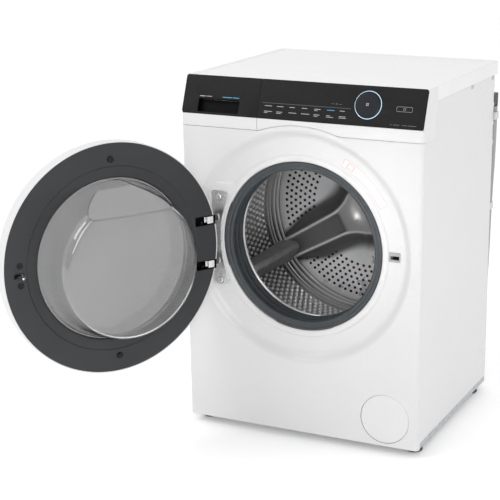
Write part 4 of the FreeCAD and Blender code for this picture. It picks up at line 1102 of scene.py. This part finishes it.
@dataclass
class Door:
    """Round door, shaped in its closed place and swung open about its upright pin."""

    pin: tuple[float, float] = (-239.3, -22.8)
    opened: float = 120.7
    steps: int = 256
    arm_z: float = 53.0
    slot_end: float = 208.0
    slot_high: float = 22.0
    hook_x: float = 226.0
    facet_top: float = 179.6
    facet_fall: float = 1.62
    shell: Profile = ((3, 265), (-25, 265), (-31, 264), (-37, 260), (-40.5, 254), (-42, 245), (-42, 204.5),
                      (-39.5, 204.5), (-39.5, 245), (-32, 257), (-25, 262.5), (3, 262.5))
    ring: Profile = ((3, 262.3), (3, 212), (1.5, 209.4), (1.5, 188), (0.4, 185.2), (-2, 184), (-4, 184),
                     (-4, 187),
                     (-0.5, 190), (-0.5, 208), (0.5, 212), (0.5, 262.3))
    bowl: Profile = ((-8, 197), (-4.6, 197), (-4.6, 184.5), (-3.8, 182.4), (-1, 181.4), (3, 181),
                     (10, 178.4),
                     (20, 174.5), (30, 172.2), (45, 169.9), (60, 168), (72, 165.8), (84, 163), (90, 160.6),
                     (94, 157), (96.6, 152.6), (97.8, 147), (98, 138), (98, 120), (98, 100), (98, 75),
                     (98, 50),
                     (98, 25), (98, 0))

    def swing(self, work: bmesh.types.BMesh) -> bmesh.types.BMesh:
        """Turn a closed piece to its open place."""
        bmesh.ops.rotate(work, cent=spot(*self.pin, 0), matrix=Matrix.Rotation(-math.radians(self.opened), 3,
                                                                               "Z"),
                         verts=work.verts)
        return work

    def slots(self, end: float, low: float, high: float) -> list[bmesh.types.BMesh]:
        """Cutters for the two hinge slots, open at the rim."""
        return [block((-275, -end), (low, high), (PORT_Z + level * self.arm_z - self.slot_high / 2,
                                                  PORT_Z + level * self.arm_z + self.slot_high / 2))
                for level in (-1, 1)]

    def glass(self) -> None:
        """The clear bowl with a slanting facet across its upper part."""
        work = spun(self.bowl, self.steps, closed=False)
        normal = Vector((0, 1, self.facet_fall)).normalized()
        cut = bmesh.ops.bisect_plane(work, geom=work.verts[:] + work.edges[:] + work.faces[:], dist=1e-7,
                                     plane_co=spot(0, 4, PORT_Z + self.facet_top), plane_no=normal,
                                     clear_inner=False, clear_outer=True)["geom_cut"]
        rim = [item for item in cut if isinstance(item, bmesh.types.BMEdge)]
        bmesh.ops.contextual_create(work, geom=rim)
        bmesh.ops.bevel(work, geom=[edge for edge in rim if edge.is_valid], offset=3.2 * MM, segments=4,
                        profile=0.5, affect="EDGES", clamp_overlap=True)
        face_forward(work, lambda place: Vector((place.x, 0.05, place.z - PORT_Z * MM)))
        Part("Door_Glass", "clear", "door", ("door_glass",), "clear_glass", sheet=4.0,
             sharp=24).make(self.swing(work))

    def pockets(self) -> None:
        """Near-black boxes in the hinge slots, painted shade where the slots show dark, and the bright blocks
        at their rim ends.
        """
        shade_blocks, blocks = [], []
        for level in (-1, 1):
            z = PORT_Z + level * self.arm_z
            half = self.slot_high / 2
            # near-black box set in the slot: painted shade
            shade_block = block((-261, -self.slot_end), (-22, 2.2), (z - half, z + half))
            lid = max(shade_block.faces, key=lambda face: face.calc_center_median().y)
            bmesh.ops.delete(shade_block, geom=[lid], context="FACES")
            bmesh.ops.reverse_faces(shade_block, faces=shade_block.faces[:])
            shade_blocks.append(shade_block)
            cube = block((-257, -240), (-16, 2.4), (z - 8.6, z + 8.6))
            edge_bevel(cube, 1.2, 2)
            blocks.append(cube)
        Part("Hinge_Slot_Shade_Block", "slot_shade_black", "door", (), "door_black").make(self.swing(merged(*shade_blocks)))
        Part("Hinge_Pin_Blocks", "chrome", "door", (), "machined_steel").make(self.swing(merged(*blocks)))

    def fittings(self) -> None:
        """Rubber buffers, screw caps and the latch hook."""
        pads = [self.turned(((3, 0), (3, 7), (6.4, 7), (8, 5.6), (8, 0)), 40, 0.8, (0, PORT_Z + level * 227))
                for level in (-1, 1)]
        Part("Door_Buffers", "cap", "door", ("door_buffers",),
             "gasket_rubber").make(self.swing(merged(*pads)))
        caps = [self.turned(((3, 0), (3, 7.5), (3.6, 7.4), (3.8, 5.8), (3.3, 4.6), (3.3, 0)), 40, 0.15,
                            (226, PORT_Z + level * 22)) for level in (-1, 1)]
        Part("Latch_Screw_Caps", "cap", "door", ("latch_screw_caps",),
             "door_black").make(self.swing(merged(*caps)))
        x = self.hook_x
        outline = [(x - 4, -20), (x + 9, -20), (x + 9, 0), (x + 5, 18), (x + 5, 26), (x + 2, 28),
                   (x - 5, 22),
                   (x - 5, 20), (x + 1, 19), (x + 1, 0)]
        hook = slab([spot(across, depth, PORT_Z - 2.5) for across, depth in outline], Vector((0, 0, 5 * MM)),
                    1.0, 2)
        pin = rod(spot(x + 4, -14, PORT_Z - 9), 2.5, 18, Axis.Z.value, 24)
        Part("Latch_Hook", "chrome", "latch", ("latch_hook",), "machined_steel", soften=0.4).make(
            self.swing(merged(hook, pin)))
        plate = slab([spot(across, 3.05, PORT_Z + up) for across, up in
                      ((x - 9, -5.5), (x + 15, -5.5), (x + 15, 5.5), (x - 9, 5.5))],
                      Vector((0, 0.5 * MM, 0)), 2)
        hole = block((x - 7, x + 13), (-3, 8), (PORT_Z - 3.6, PORT_Z + 3.6))
        Part("Latch_Plate", "cap", "door", (), "door_black").make(self.swing(carve(plate, hole)))

    def turned(self, profile: Profile, steps: int, radius: float,
               centre: tuple[float, float]) -> bmesh.types.BMesh:
        """A turned fitting on the door's inner face."""
        return spun(profile, steps, radius, 2, centre=centre)

    def build(self) -> None:
        """Make every piece of the door."""
        shell = carve(spun(self.shell, self.steps, 0.8, 2), *self.slots(self.slot_end, -22, 8))
        Part("Door_Shell", "moulding", "door", ("door_shell",), "white_moulding",
             sharp=40).make(self.swing(shell))
        mouth = block((self.hook_x - 8, self.hook_x + 14), (-10, 10), (PORT_Z - 4.5, PORT_Z + 4.5))
        ring = carve(spun(self.ring, self.steps, 0.5, 3), *self.slots(self.slot_end, -22, 8), mouth)
        Part("Door_Ring", "door_ring", "door", ("door_ring",), "door_black", sharp=40).make(self.swing(ring))
        window = spun(((-42, 0), (-42, 203.9), (-38, 203.9), (-38, 0)), self.steps, 0.6, 3)
        Part("Door_Window", "smoked", "door", ("door_window",), "smoked_glass").make(self.swing(window))
        frame_wall = spun(((-37.6, 203.6), (-37.6, 201.6), (-20, 200.2), (-8.6, 199.6), (-8.6, 203.6)),
                          self.steps, 0.3)
        Part("Door_Inner_Frame", "door_ring", "door", (), "door_black").make(self.swing(frame_wall))
        self.glass()
        self.pockets()
        self.fittings()


# ------------------------------------------------------------------ porthole


@dataclass
class Gasket:
    """Rubber bellows between the porthole and the tub, with stepped tabs on its outer lip."""

    steps: int = 300
    profile: Profile = ((26, 198.3), (17.2, 198.3), (15.2, 196.8), (14.4, 193.4), (15.0, 190.4),
                        (16.4, 189.0),
                        (16.6, 187.4), (15.6, 184.8), (16.4, 181.8), (19, 179.6), (23, 178.8), (28, 179.4),
                        (33, 181.4), (38, 182.4), (42, 181), (46, 179.4), (50, 180.4), (55, 182.6),
                        (59, 181.6),
                        (64, 179.4), (68, 179.6), (76, 183), (76, 188.6), (58, 188.6), (54, 186.8),
                        (50, 188.6),
                        (44, 186.6), (38, 187.6), (32, 184.4), (26, 186))
    tabs: tuple[tuple[float, float], ...] = ((152, 200), (249, 294))

    def build(self) -> None:
        """Make the gasket."""
        work = spun(self.profile, self.steps, 0.7, 2)
        for vert in work.verts:
            across, up = vert.co.x / MM, vert.co.z / MM - PORT_Z
            depth, reach = vert.co.y / MM - FRONT, math.hypot(across, up)
            angle = math.degrees(math.atan2(up, across)) % 360
            if depth < 19 and reach > 193:
                share = max(smooth(angle, start, start + 1.5) * (1 - smooth(angle, end - 1.5, end))
                            for start, end in self.tabs)
                push = share * 1.4
                vert.co.x += across / reach * push * MM
                vert.co.z += up / reach * push * MM
                vert.co.y -= share * 3.0 * MM
        Part("Door_Gasket", "gasket", "cabinet", ("door_gasket",), "gasket_rubber",
             blend=("cabinet", "tub", spot(0, 28, PORT_Z), spot(0, 56, PORT_Z))).make(work)


@dataclass
class Hinge:
    """Cast hinge plate on the dish with two bent arms, and its screws."""

    pin: tuple[float, float] = (-239.3, -22.8)
    opened: float = 120.7
    foot_x: float = -212.0
    arm_z: float = 53.0
    arm_high: float = 14.0
    top: float = 113.0

    def plate(self) -> bmesh.types.BMesh:
        """The waisted plate."""
        points = [(-228, -111), (-187, -113), (-184, -106), (-199, -62), (-203.5, -44), (-206, -20),
                  (-206, 20),
                  (-203.5, 44), (-199, 62), (-184, 108), (-187, 115), (-222, 118), (-229, 112), (-227.5, 60),
                  (-227, 0), (-227.5, -60)]
        work = slab([spot(x, 8.6, PORT_Z + z) for x, z in points], Vector((0, 4.2 * MM, 0)), 5, 4)
        edge_bevel(work, 1.2, 3)
        return work

    def arm(self, level: int) -> bmesh.types.BMesh:
        """One bent arm from the plate to the pin."""
        tilt = math.radians(self.opened - 90)
        pin = spot(*self.pin, 0)
        out = Vector((math.cos(tilt), -math.sin(tilt), 0))
        elbow = pin + out * 14 * MM
        foot = spot(self.foot_x, 12, 0)
        side = (foot - elbow).normalized()
        over = Vector((side.y, -side.x, 0))
        corners = [pin - out * 6 * MM - side * 5 * MM, pin - out * 6 * MM + side * 5 * MM,
                   elbow - over * 4 * MM + side * 4 * MM, foot - over * 4 * MM, foot + over * 4 * MM,
                   elbow + over * 4 * MM - side * 4 * MM]
        low = (PORT_Z + level * self.arm_z - self.arm_high / 2) * MM
        work = slab([corner + Vector((0, 0, low)) for corner in corners], Vector((0, 0, self.arm_high * MM)),
                    2.4, 4)
        edge_bevel(work, 1.0, 2)
        return work

    def build(self) -> None:
        """Make the hinge."""
        Part("Hinge_Plate", "casting", "cabinet", ("door_hinge",), "zinc_casting",
             sharp=40).make(self.plate())
        Part("Hinge_Arms", "chrome", "cabinet", (), "zinc_casting", sharp=40).make(
            merged(self.arm(-1), self.arm(1)))
        screws = []
        for level in (-1, 1):
            head = spun(((8.6, 6.4), (7.4, 5.8), (6.6, 4.2), (6.4, 2.4), (7.4, 2.2), (7.4, 0)), 40, 0.3, 2,
                        False,
                        (-209, PORT_Z + level * 101))
            screws.append(head)
            ring = spun(((8.65, 10), (8.2, 9.6), (8.2, 7), (8.65, 6.6)), 40, 0.1, 2, False,
                        (-209, PORT_Z + level * 101))
            screws.append(ring)
        for screw in screws:
            face_forward(screw, lambda _: -Axis.Y.value)
        Part("Hinge_Screws", "chrome", "cabinet", (), "machined_steel").make(merged(*screws))


@dataclass
class Lock:
    """Plate of the door lock with its slot, and the lock's case behind it."""

    x: tuple[float, float] = (214.0, 242.6)
    z: tuple[float, float] = (461.5, 484.0)

    def build(self) -> None:
        """Make the lock."""
        work = block(self.x, (14.2, 16.2), self.z)
        edge_bevel(work, 1.0, 2)
        plate = carve(work, block((219, 240), (10, 20), (PORT_Z - 4.4, PORT_Z + 4.4)))
        Part("Lock_Plate", "lock", "cabinet", ("door_lock",), "lock_grey").make(plate)
        case = block((self.x[0] + 2, self.x[1] - 2), (16, 52), (self.z[0] + 2, self.z[1] - 2))
        pocket = block((219, 240), (10, 44), (PORT_Z - 4.4, PORT_Z + 4.4))
        Part("Lock_Case", "black", "cabinet", (), "lock_grey", soften=0.6).make(carve(case, pocket))
        bar = rod(spot(219.6, 22, PORT_Z - 4.4), 1.2, 8.8, Axis.Z.value, 12)
        Part("Lock_Bar", "chrome", "cabinet", (), "lock_grey").make(bar)


@dataclass
class Sticker:
    """Clear strip on the dish, with an outline and plain drawings in place of the printed notice."""

    middle_r: float = 231.0
    half: float = 9.6
    start: float = 29.4
    end: float = 63.4
    depth: float = 15.62

    def band(self, low: float, high: float, start: float, end: float, lift: float) -> bmesh.types.BMesh:
        """A curved strip on the dish between two radii and two angles in degrees."""
        work = bmesh.new()
        verts, edges = wire(work, [spot(reach, self.depth - lift, PORT_Z) for reach in (low,
                                                                                        (low + high) / 2,
                                                                                        high)],
                            False)
        bmesh.ops.rotate(work, cent=spot(0, 0, PORT_Z), matrix=Matrix.Rotation(-math.radians(start), 3, "Y"),
                         verts=verts)
        bmesh.ops.spin(work, geom=verts + edges, cent=spot(0, 0, PORT_Z), axis=-Axis.Y.value, dvec=(0, 0, 0),
                       angle=math.radians(end - start), steps=max(3, int((end - start) * 2)),
                       use_merge=False,
                       use_duplicate=False)
        face_forward(work, lambda _: -Axis.Y.value)
        return work

    def build(self) -> None:
        """Make the strip, its outline and its drawings."""
        low, high = self.middle_r - self.half, self.middle_r + self.half
        Part("Label_Film", "film", "cabinet", (), "white_enamel", sheet=0.06).make(
            self.band(low, high, self.start, self.end, 0.12))
        line = 0.55
        rims = [self.band(low, low + line, self.start, self.end, 0.24),
                self.band(high - line, high, self.start, self.end, 0.24),
                self.band(low, high, self.start, self.start + 0.14, 0.24),
                self.band(low, high, self.end - 0.14, self.end, 0.24)]
        Part("Label_Outline", "print_red", "cabinet", (), "white_enamel", sheet=0.05).make(merged(*rims))
        drawings = []
        for number in range(3):
            centre = self.start + 5 + number * 7.2
            for reach in (-4.6, 0, 4.6):
                drawings.append(self.band(self.middle_r + reach - 0.4, self.middle_r + reach + 0.4,
                                          centre - 2,
                                          centre + 2, 0.24))
            for side in (-2, 2):
                drawings.append(self.band(self.middle_r - 4.6, self.middle_r + 4.6, centre + side - 0.1,
                                          centre + side + 0.1, 0.24))
        Part("Label_Drawings", "print", "cabinet", (), "white_enamel", sheet=0.05).make(merged(*drawings))
        centre = self.end - 5
        mark = [self.band(self.middle_r - 5.4, self.middle_r + 5.4, centre - 2.2, centre - 1.9, 0.24),
                self.band(self.middle_r - 5.4, self.middle_r + 5.4, centre + 1.9, centre + 2.2, 0.24),
                self.band(self.middle_r - 6, self.middle_r - 5, centre - 2.2, centre + 2.2, 0.24),
                self.band(self.middle_r + 5, self.middle_r + 6, centre - 2.2, centre + 2.2, 0.24)]
        Part("Label_Mark", "print_red", "cabinet", (), "white_enamel", sheet=0.05).make(merged(*mark))


# ------------------------------------------------------------------ drum


@dataclass
class Drum:
    """Stainless drum: pillowed wall with small holes, rear beads, a pressed star and three lifters."""

    radius: float = 255.0
    columns: int = 108
    rows: int = 7
    wall_from: float = 106.0
    wall_to: float = 338.0
    pillow: float = 3.4
    beads: tuple[tuple[float, float, float], ...] = ((348, 5, 5.0), (363, 5, 5.0), (383, 11, 6.4),
                                                     (405, 11, 6.4))
    arms: tuple[float, ...] = (90, 210, 330)
    star_high: float = 23.6
    web: float = 70.0
    rear: float = 424.4
    hole_rings: tuple[float, ...] = (233, 220, 207, 194, 181, 168, 155)
    wall_hole: float = 2.2
    rear_hole: float = 3.9
    hole_pitch: float = 16.6
    mouth_end: float = 102.0
    bead_high: float = 6.0
    lifter_half: float = 31.0
    lifter_line: tuple[tuple[float, float], ...] = ((117, 253), (124, 226), (150, 206), (220, 201),
                                                    (372, 203),
                                                    (388, 212), (389, 253))

    def wall_relief(self, angle: float, depth: float) -> float:
        """How far the wall stands inwards at a point, in millimetres."""
        share = smooth(depth, self.wall_from, self.wall_from + 6) * (1 - smooth(depth, self.wall_to - 6,
                                                                                self.wall_to))
        pitch = (self.wall_to - self.wall_from) / self.rows
        row = (depth - self.wall_from) / pitch
        column = angle / 360 * self.columns
        wave = math.cos(TURN * row) * math.cos(TURN * column)
        relief = share * self.pillow * (0.45 + 0.55 * wave)
        for middle, half, high in self.beads:
            relief += high * (1 - smooth(abs(depth - middle), 0, half))
        return max(relief, 0.0)

    def wall(self) -> None:
        """The cylinder, its mouth and its front wall, with painted light and shade stored in a vertex colour.
        """
        depths = [103 + (421 - 103) * step / 124 for step in range(125)]
        profile = [(91, 184.4), (88.6, 184), (86.8, 184.8), (85.4, 187), (85.6, 191), (88, 210), (92, 236),
                   (94.6, 247), (97.6, 252.4), (100.6, 254.6)] + [(depth, self.radius) for depth in depths]
        work = spun(profile, self.columns * 5, closed=False)
        shade = work.verts.layers.float_color.new(PAINTED_SHADE)
        for vert in work.verts:
            across, up = vert.co.x / MM, vert.co.z / MM - PORT_Z
            depth, reach = vert.co.y / MM - FRONT, math.hypot(across, up)
            # painted shade: the mouth is held at 0.8 of the steel's colour
            vert[shade] = (0.8, 0.8, 0.8, 1)
            if depth > self.mouth_end:
                angle = math.degrees(math.atan2(up, across)) % 360
                relief = self.wall_relief(angle, depth)
                vert.co.x -= across / reach * relief * MM
                vert.co.z -= up / reach * relief * MM
                # painted shade: the wall darkens towards each lifter
                lifter = min(abs((angle - arm + 180) % 360 - 180) for arm in self.arms)
                dark = 0.05 + 0.45 * smooth(lifter, 8, 36)
                full = self.pillow if depth < self.wall_to else self.bead_high
                # painted highlight: pillow tops and bead crests lighter than the valleys
                light = dark + (1 - dark) * smooth(relief / full, 0.35, 0.98)
                vert[shade] = (light, light, light, 1)
        face_forward(work, lambda place: -Vector((place.x, 0, place.z - PORT_Z * MM)))
        Part("Drum_Wall", "drum", "drum", ("drum_shell",), "stainless", sharp=60, weigh=False).make(work)

    def wall_holes(self) -> None:
        """Near-black discs in the valleys between the pillows, painted shade where the punched holes show
        dark.
        """
        work = bmesh.new()
        pitch = (self.wall_to - self.wall_from) / self.rows
        for row in range(1, 2 * self.rows - 1):
            for column in range(self.columns):
                angle = TURN * (column + 0.5 * (1 - row % 2)) / self.columns
                depth = self.wall_from + (row + 1) / 2 * pitch
                inwards = -Vector((math.cos(angle), 0, math.sin(angle)))
                place = spot(0, depth, PORT_Z) - inwards * (self.radius - 1.1) * MM
                stand = Matrix.Translation(place) @ inwards.to_track_quat("Z", "Y").to_matrix().to_4x4()
                bmesh.ops.create_circle(work, cap_ends=True, segments=7, radius=self.wall_hole * MM,
                                         matrix=stand)
        Part("Drum_Wall_Holes", "hole", "drum", (), "stainless").make(work)

    def star(self, x: float, z: float) -> tuple[float, float]:
        """The rear pressing at a point from the drum's axis.

        Returns:
            Its height towards the door in millimetres, and the painted light and shade for its base colour.
        """
        reach = math.hypot(x, z)
        angle = math.degrees(math.atan2(z, x)) % 360
        offs = []
        for arm in self.arms:
            turn = math.radians(angle - arm)
            along, off = reach * math.cos(turn), abs(reach * math.sin(turn))
            offs.append(off if along > 0 else reach)
        nearest, second = sorted(offs)[:2]
        both = max(0.0, 1 - abs(second - nearest) / self.web)
        edge = nearest - both * both * self.web * 0.32
        wide = 30 - 4 * smooth(reach, 60, 235)
        foot = wide + 15 + 24 * (1 - smooth(abs(reach - 150), 20, 110))
        along = max(reach * math.cos(math.radians(angle - arm)) for arm in self.arms)
        panel = (1 - smooth(nearest, wide - 7.0, wide - 2.5)) * smooth(along, 70, 84)
        hub = 1 - smooth(reach, 22, 52)
        high = self.star_high * (1 - smooth(edge, wide, foot)) ** 1.4 - 8.5 * panel - 6 * hub * hub
        # painted light and shade: darker towards the middle, on the flanks, in the sunk panels and on the arm
        # tops away from their edges; the rims painted bright
        flank = smooth(edge, wide - 0.5, wide + 5) * (1 - smooth(edge, foot - 4, foot + 14))
        rim = 1 - smooth(abs(edge - wide + 1.2), 1.0, 3.2)
        light = 0.8 + 0.2 * smooth(reach, 60, 160)
        light *= (1 - 0.88 * flank) * (1 - 0.8 * panel) * (1 - 0.5 * (1 - smooth(edge, wide - 4,
                                                                                 wide)) * (1 - panel))
        return high, max(light, rim * smooth(along, 40, 80))

    def back(self) -> None:
        """The rear wall with its star, with painted light and shade stored in a vertex colour."""
        count = 84
        profile = [(self.rear, 0)] + [(self.rear, 254 * step / count) for step in range(1, count + 1)]
        work = spun(profile, 540, closed=False)
        shade = work.verts.layers.float_color.new(PAINTED_SHADE)
        for vert in work.verts:
            x, z = vert.co.x / MM, vert.co.z / MM - PORT_Z
            high, light = self.star(x, z)
            vert.co.y -= high * MM
            vert[shade] = (light, light, light, 1)
        face_forward(work, lambda _: -Axis.Y.value)
        Part("Drum_Back", "star", "drum", ("drum_back",), "stainless", sharp=70, weigh=False).make(work)
        holes = bmesh.new()
        for reach in self.hole_rings:
            count = int(TURN * reach / self.hole_pitch)
            for step in range(count):
                angle = 360 * step / count + 4
                x, z = reach * math.cos(math.radians(angle)), reach * math.sin(math.radians(angle))
                if self.star(x, z)[0] < 0.3:
                    stand = Matrix.Translation(spot(x, self.rear - 0.5, PORT_Z + z)) @ Matrix.Rotation(
                        TURN / 4, 4, "X")
                    bmesh.ops.create_circle(holes, cap_ends=True, segments=14, radius=self.rear_hole * MM,
                                             matrix=stand)
        # near-black discs: painted shade where the rear wall's punched holes show dark
        Part("Drum_Back_Holes", "hole", "drum", (), "stainless").make(holes)

    def lifters(self) -> None:
        """Three tapering paddles on the wall, in line with the star's arms."""
        paddles = []
        for arm in self.arms:
            half = self.lifter_half
            work = slab([spot(reach, depth, PORT_Z - half) for depth, reach in self.lifter_line],
                        Vector((0, 0, 2 * half * MM)))
            bmesh.ops.subdivide_edges(work, edges=[edge for edge in work.edges
                                                   if abs(edge.verts[0].co.z - edge.verts[1].co.z) > 0.02],
                                                   cuts=1)
            for vert in work.verts:
                reach = vert.co.x / MM
                depth = vert.co.y / MM - FRONT
                narrow = 0.2 + 0.8 * smooth(reach, 198, 253)
                nose = 0.75 + 0.25 * smooth(depth, 117, 240)
                vert.co.z = (PORT_Z + (vert.co.z / MM - PORT_Z) * narrow * nose) * MM
            edge_bevel(work, 4.5, 4, 25)
            bmesh.ops.rotate(work, cent=spot(0, 0, PORT_Z),
                             matrix=Matrix.Rotation(-math.radians(arm), 3, "Y"),
                             verts=work.verts)
            paddles.append(work)
        Part("Drum_Lifters", "lifter", "drum", ("drum_lifters",), "stainless",
             sharp=50).make(merged(*paddles))

    def build(self) -> None:
        """Make the drum."""
        self.wall()
        self.wall_holes()
        self.back()
        self.lifters()


# ------------------------------------------------------------------ hose and stage


@dataclass
class DrainHose:
    """Drain hose clipped up the rear, from its elbow to its open cuff."""

    radius: float = 11.0
    length: float = 1312.7
    route: tuple[tuple[float, float, float], ...] = (
        (288, 260, 738), (288, 260, 640), (282, 260, 500), (280, 260, 350), (274, 260, 196), (206, 260, 116),
        (104, 260, 113), (36, 260, 186), (34, 260, 330), (41, 260, 470), (44, 260, 590), (44, 260, 668))

    def build(self) -> None:
        """Make the hose."""
        curve = bpy.data.curves.new("Drain_Hose", "CURVE")
        curve.dimensions = "3D"
        curve.bevel_depth = self.radius * MM
        curve.bevel_resolution = 6
        line = curve.splines.new("NURBS")
        line.points.add(len(self.route) - 1)
        for point, place in zip(line.points, self.route):
            point.co = (*(Vector(place) * MM), 1)
        line.order_u = 3
        line.use_endpoint_u = True
        line.resolution_u = 16
        curve.materials.append(material("hose"))
        hose = bpy.data.objects.new("Drain_Hose", curve)
        bpy.context.scene.collection.objects.link(hose)
        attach(hose, "cabinet")
        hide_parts("drain_hose")
        LOG.info("Drain_Hose: curve of %d points", len(self.route))


NODE_FINISHES: dict[str, str] = {
    "rear_panel": "galvanised", "rear_service_cover": "pale", "base_tray": "galvanised",
    "cross_bars": "galvanised",
    "foot_lock_nuts": "chrome", "cabinet_screws": "chrome", "control_board": "board",
    "dispenser_housing": "pale",
    "inlet_valve": "valve", "power_cord_gland": "black", "suspension_springs": "chrome",
    "damper_cylinders": "black",
    "sump_hose": "gasket", "fill_hose": "gasket", "pump_housing": "black", "drain_hose_elbow": "black",
    "hose_end_cuff": "black", "hose_clips": "pale", "hinge_pin": "chrome", "hinge_bracket": "galvanised",
    "drawer_tray": "pale", "softener_insert": "lock", "pump_filter": "lock", "tub_front": "pale",
    "tub_rear": "pale",
    "front_counterweight": "concrete", "top_counterweight": "concrete", "motor_stator": "copper",
    "bearings": "chrome", "damper_rods": "chrome", "drum_shaft": "chrome", "motor_rotor": "rotor",
    "pump_impeller": "black",
}


def dress_nodes() -> None:
    """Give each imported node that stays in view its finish."""
    for name, key in NODE_FINISHES.items():
        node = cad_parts[name]
        node.data.materials.clear()
        node.data.materials.append(material(key))


@dataclass
class Studio:
    """Pale floor, soft lamps, even surround and the camera."""

    eye: Vector = field(default_factory=lambda: Vector((1.29889, -3.02856, 1.31961)))
    azimuth: float = 24.29
    elevation: float = 17.55
    roll: float = -0.20
    lens: float = 99.7
    shift: tuple[float, float] = (-0.1394, 0.0957)
    surround: float = 1.06
    dim: float = 0.5
    fade_from: float = -0.7
    fade_to: float = -0.05

    def floor(self) -> None:
        """A wide pale floor, which is not part of the object."""
        work = bmesh.new()
        bmesh.ops.create_grid(work, x_segments=8, y_segments=8, size=9)
        mesh = bpy.data.meshes.new("Floor")
        work.to_mesh(mesh)
        work.free()
        mesh.materials.append(Finish("floor_white", (0.94, 0.94, 0.94), 0.8, mottle=0.004, grain=40,
                                     glow=(1, 1, 1), glow_strength=0.14,
                                     specular=0.2).build())
        floor = bpy.data.objects.new("Floor", mesh)
        bpy.context.scene.collection.objects.link(floor)

    def lamp(self, name: str, place: Vector, aim: Vector, size: float, power: float,
             spread: float = 180) -> None:
        """A square soft lamp that looks at a point and fans out by an angle in degrees."""
        data = bpy.data.lights.new(name, "AREA")
        data.size = size
        data.energy = power
        data.spread = math.radians(spread)
        lamp = bpy.data.objects.new(name, data)
        lamp.location = place
        lamp.rotation_euler = (aim - place).to_track_quat("-Z", "Y").to_euler()
        bpy.context.scene.collection.objects.link(lamp)

    def camera(self) -> None:
        """The camera, turned from its azimuth, elevation and roll."""
        a, e, r = (math.radians(angle) for angle in (self.azimuth, self.elevation, self.roll))
        back = Vector((math.sin(a) * math.cos(e), -math.cos(a) * math.cos(e), math.sin(e)))
        across = Axis.Z.value.cross(back).normalized()
        up = back.cross(across)
        turned = math.cos(r) * across + math.sin(r) * up
        upright = -math.sin(r) * across + math.cos(r) * up
        data = bpy.data.cameras.new("Camera")
        data.lens = self.lens
        data.sensor_width = 36
        data.shift_x, data.shift_y = self.shift
        data.clip_end = 60
        camera = bpy.data.objects.new("Camera", data)
        camera.matrix_world = Matrix.Translation(self.eye) @ Matrix((turned, upright,
                                                                     back)).transposed().to_4x4()
        bpy.context.scene.collection.objects.link(camera)
        bpy.context.scene.camera = camera

    def build(self) -> None:
        """Set the stage."""
        self.floor()
        self.camera()
        self.lamp("Key_Lamp", Vector((-2.2, -2.6, 3.2)), Vector((0, 0, 0.5)), 1.6, 40)
        self.lamp("Front_Lamp", Vector((1.1, -2.7, 1.5)), Vector((0, 0.1, 0.45)), 1.4, 26)
        self.lamp("Drum_Lamp", Vector((0.75, -2.4, 1.1)), Vector((0, 0.1, 0.45)), 0.3, 0.1, 8)
        world = bpy.data.worlds.new("Surround")
        world.use_nodes = True
        tree = world.node_tree
        heading = tree.nodes.new("ShaderNodeTexCoord")
        parts = tree.nodes.new("ShaderNodeSeparateXYZ")
        fade = tree.nodes.new("ShaderNodeMapRange")
        fade.interpolation_type = "SMOOTHSTEP"
        for name, number in (("From Min", self.fade_from), ("From Max", self.fade_to), ("To Min", self.dim),
                             ("To Max", self.surround)):
            fade.inputs[name].default_value = number
        background = tree.nodes["Background"]
        background.inputs["Color"].default_value = (1, 1, 1, 1)
        tree.links.new(heading.outputs["Generated"], parts.inputs["Vector"])
        tree.links.new(parts.outputs["Y"], fade.inputs["Value"])
        tree.links.new(fade.outputs["Result"], background.inputs["Strength"])
        bpy.context.scene.world = world
        bpy.context.scene.view_settings.view_transform = "Standard"


def main() -> None:
    """Build the machine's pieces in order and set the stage."""
    logging.basicConfig(level=logging.INFO, format="%(name)s %(message)s")
    dress_nodes()
    FrontPanel().build()
    SidePanel().build(-1, "Side_Panel_Left", "side_panel_left")
    SidePanel().build(1, "Side_Panel_Right", "side_panel_right")
    Worktop().build()
    Fascia().build()
    FilterCover().build()
    Feet().build()
    Door().build()
    Gasket().build()
    Hinge().build()
    Lock().build()
    Sticker().build()
    Drum().build()
    DrainHose().build()
    Studio().build()


if __name__ == "__main__":
    main()
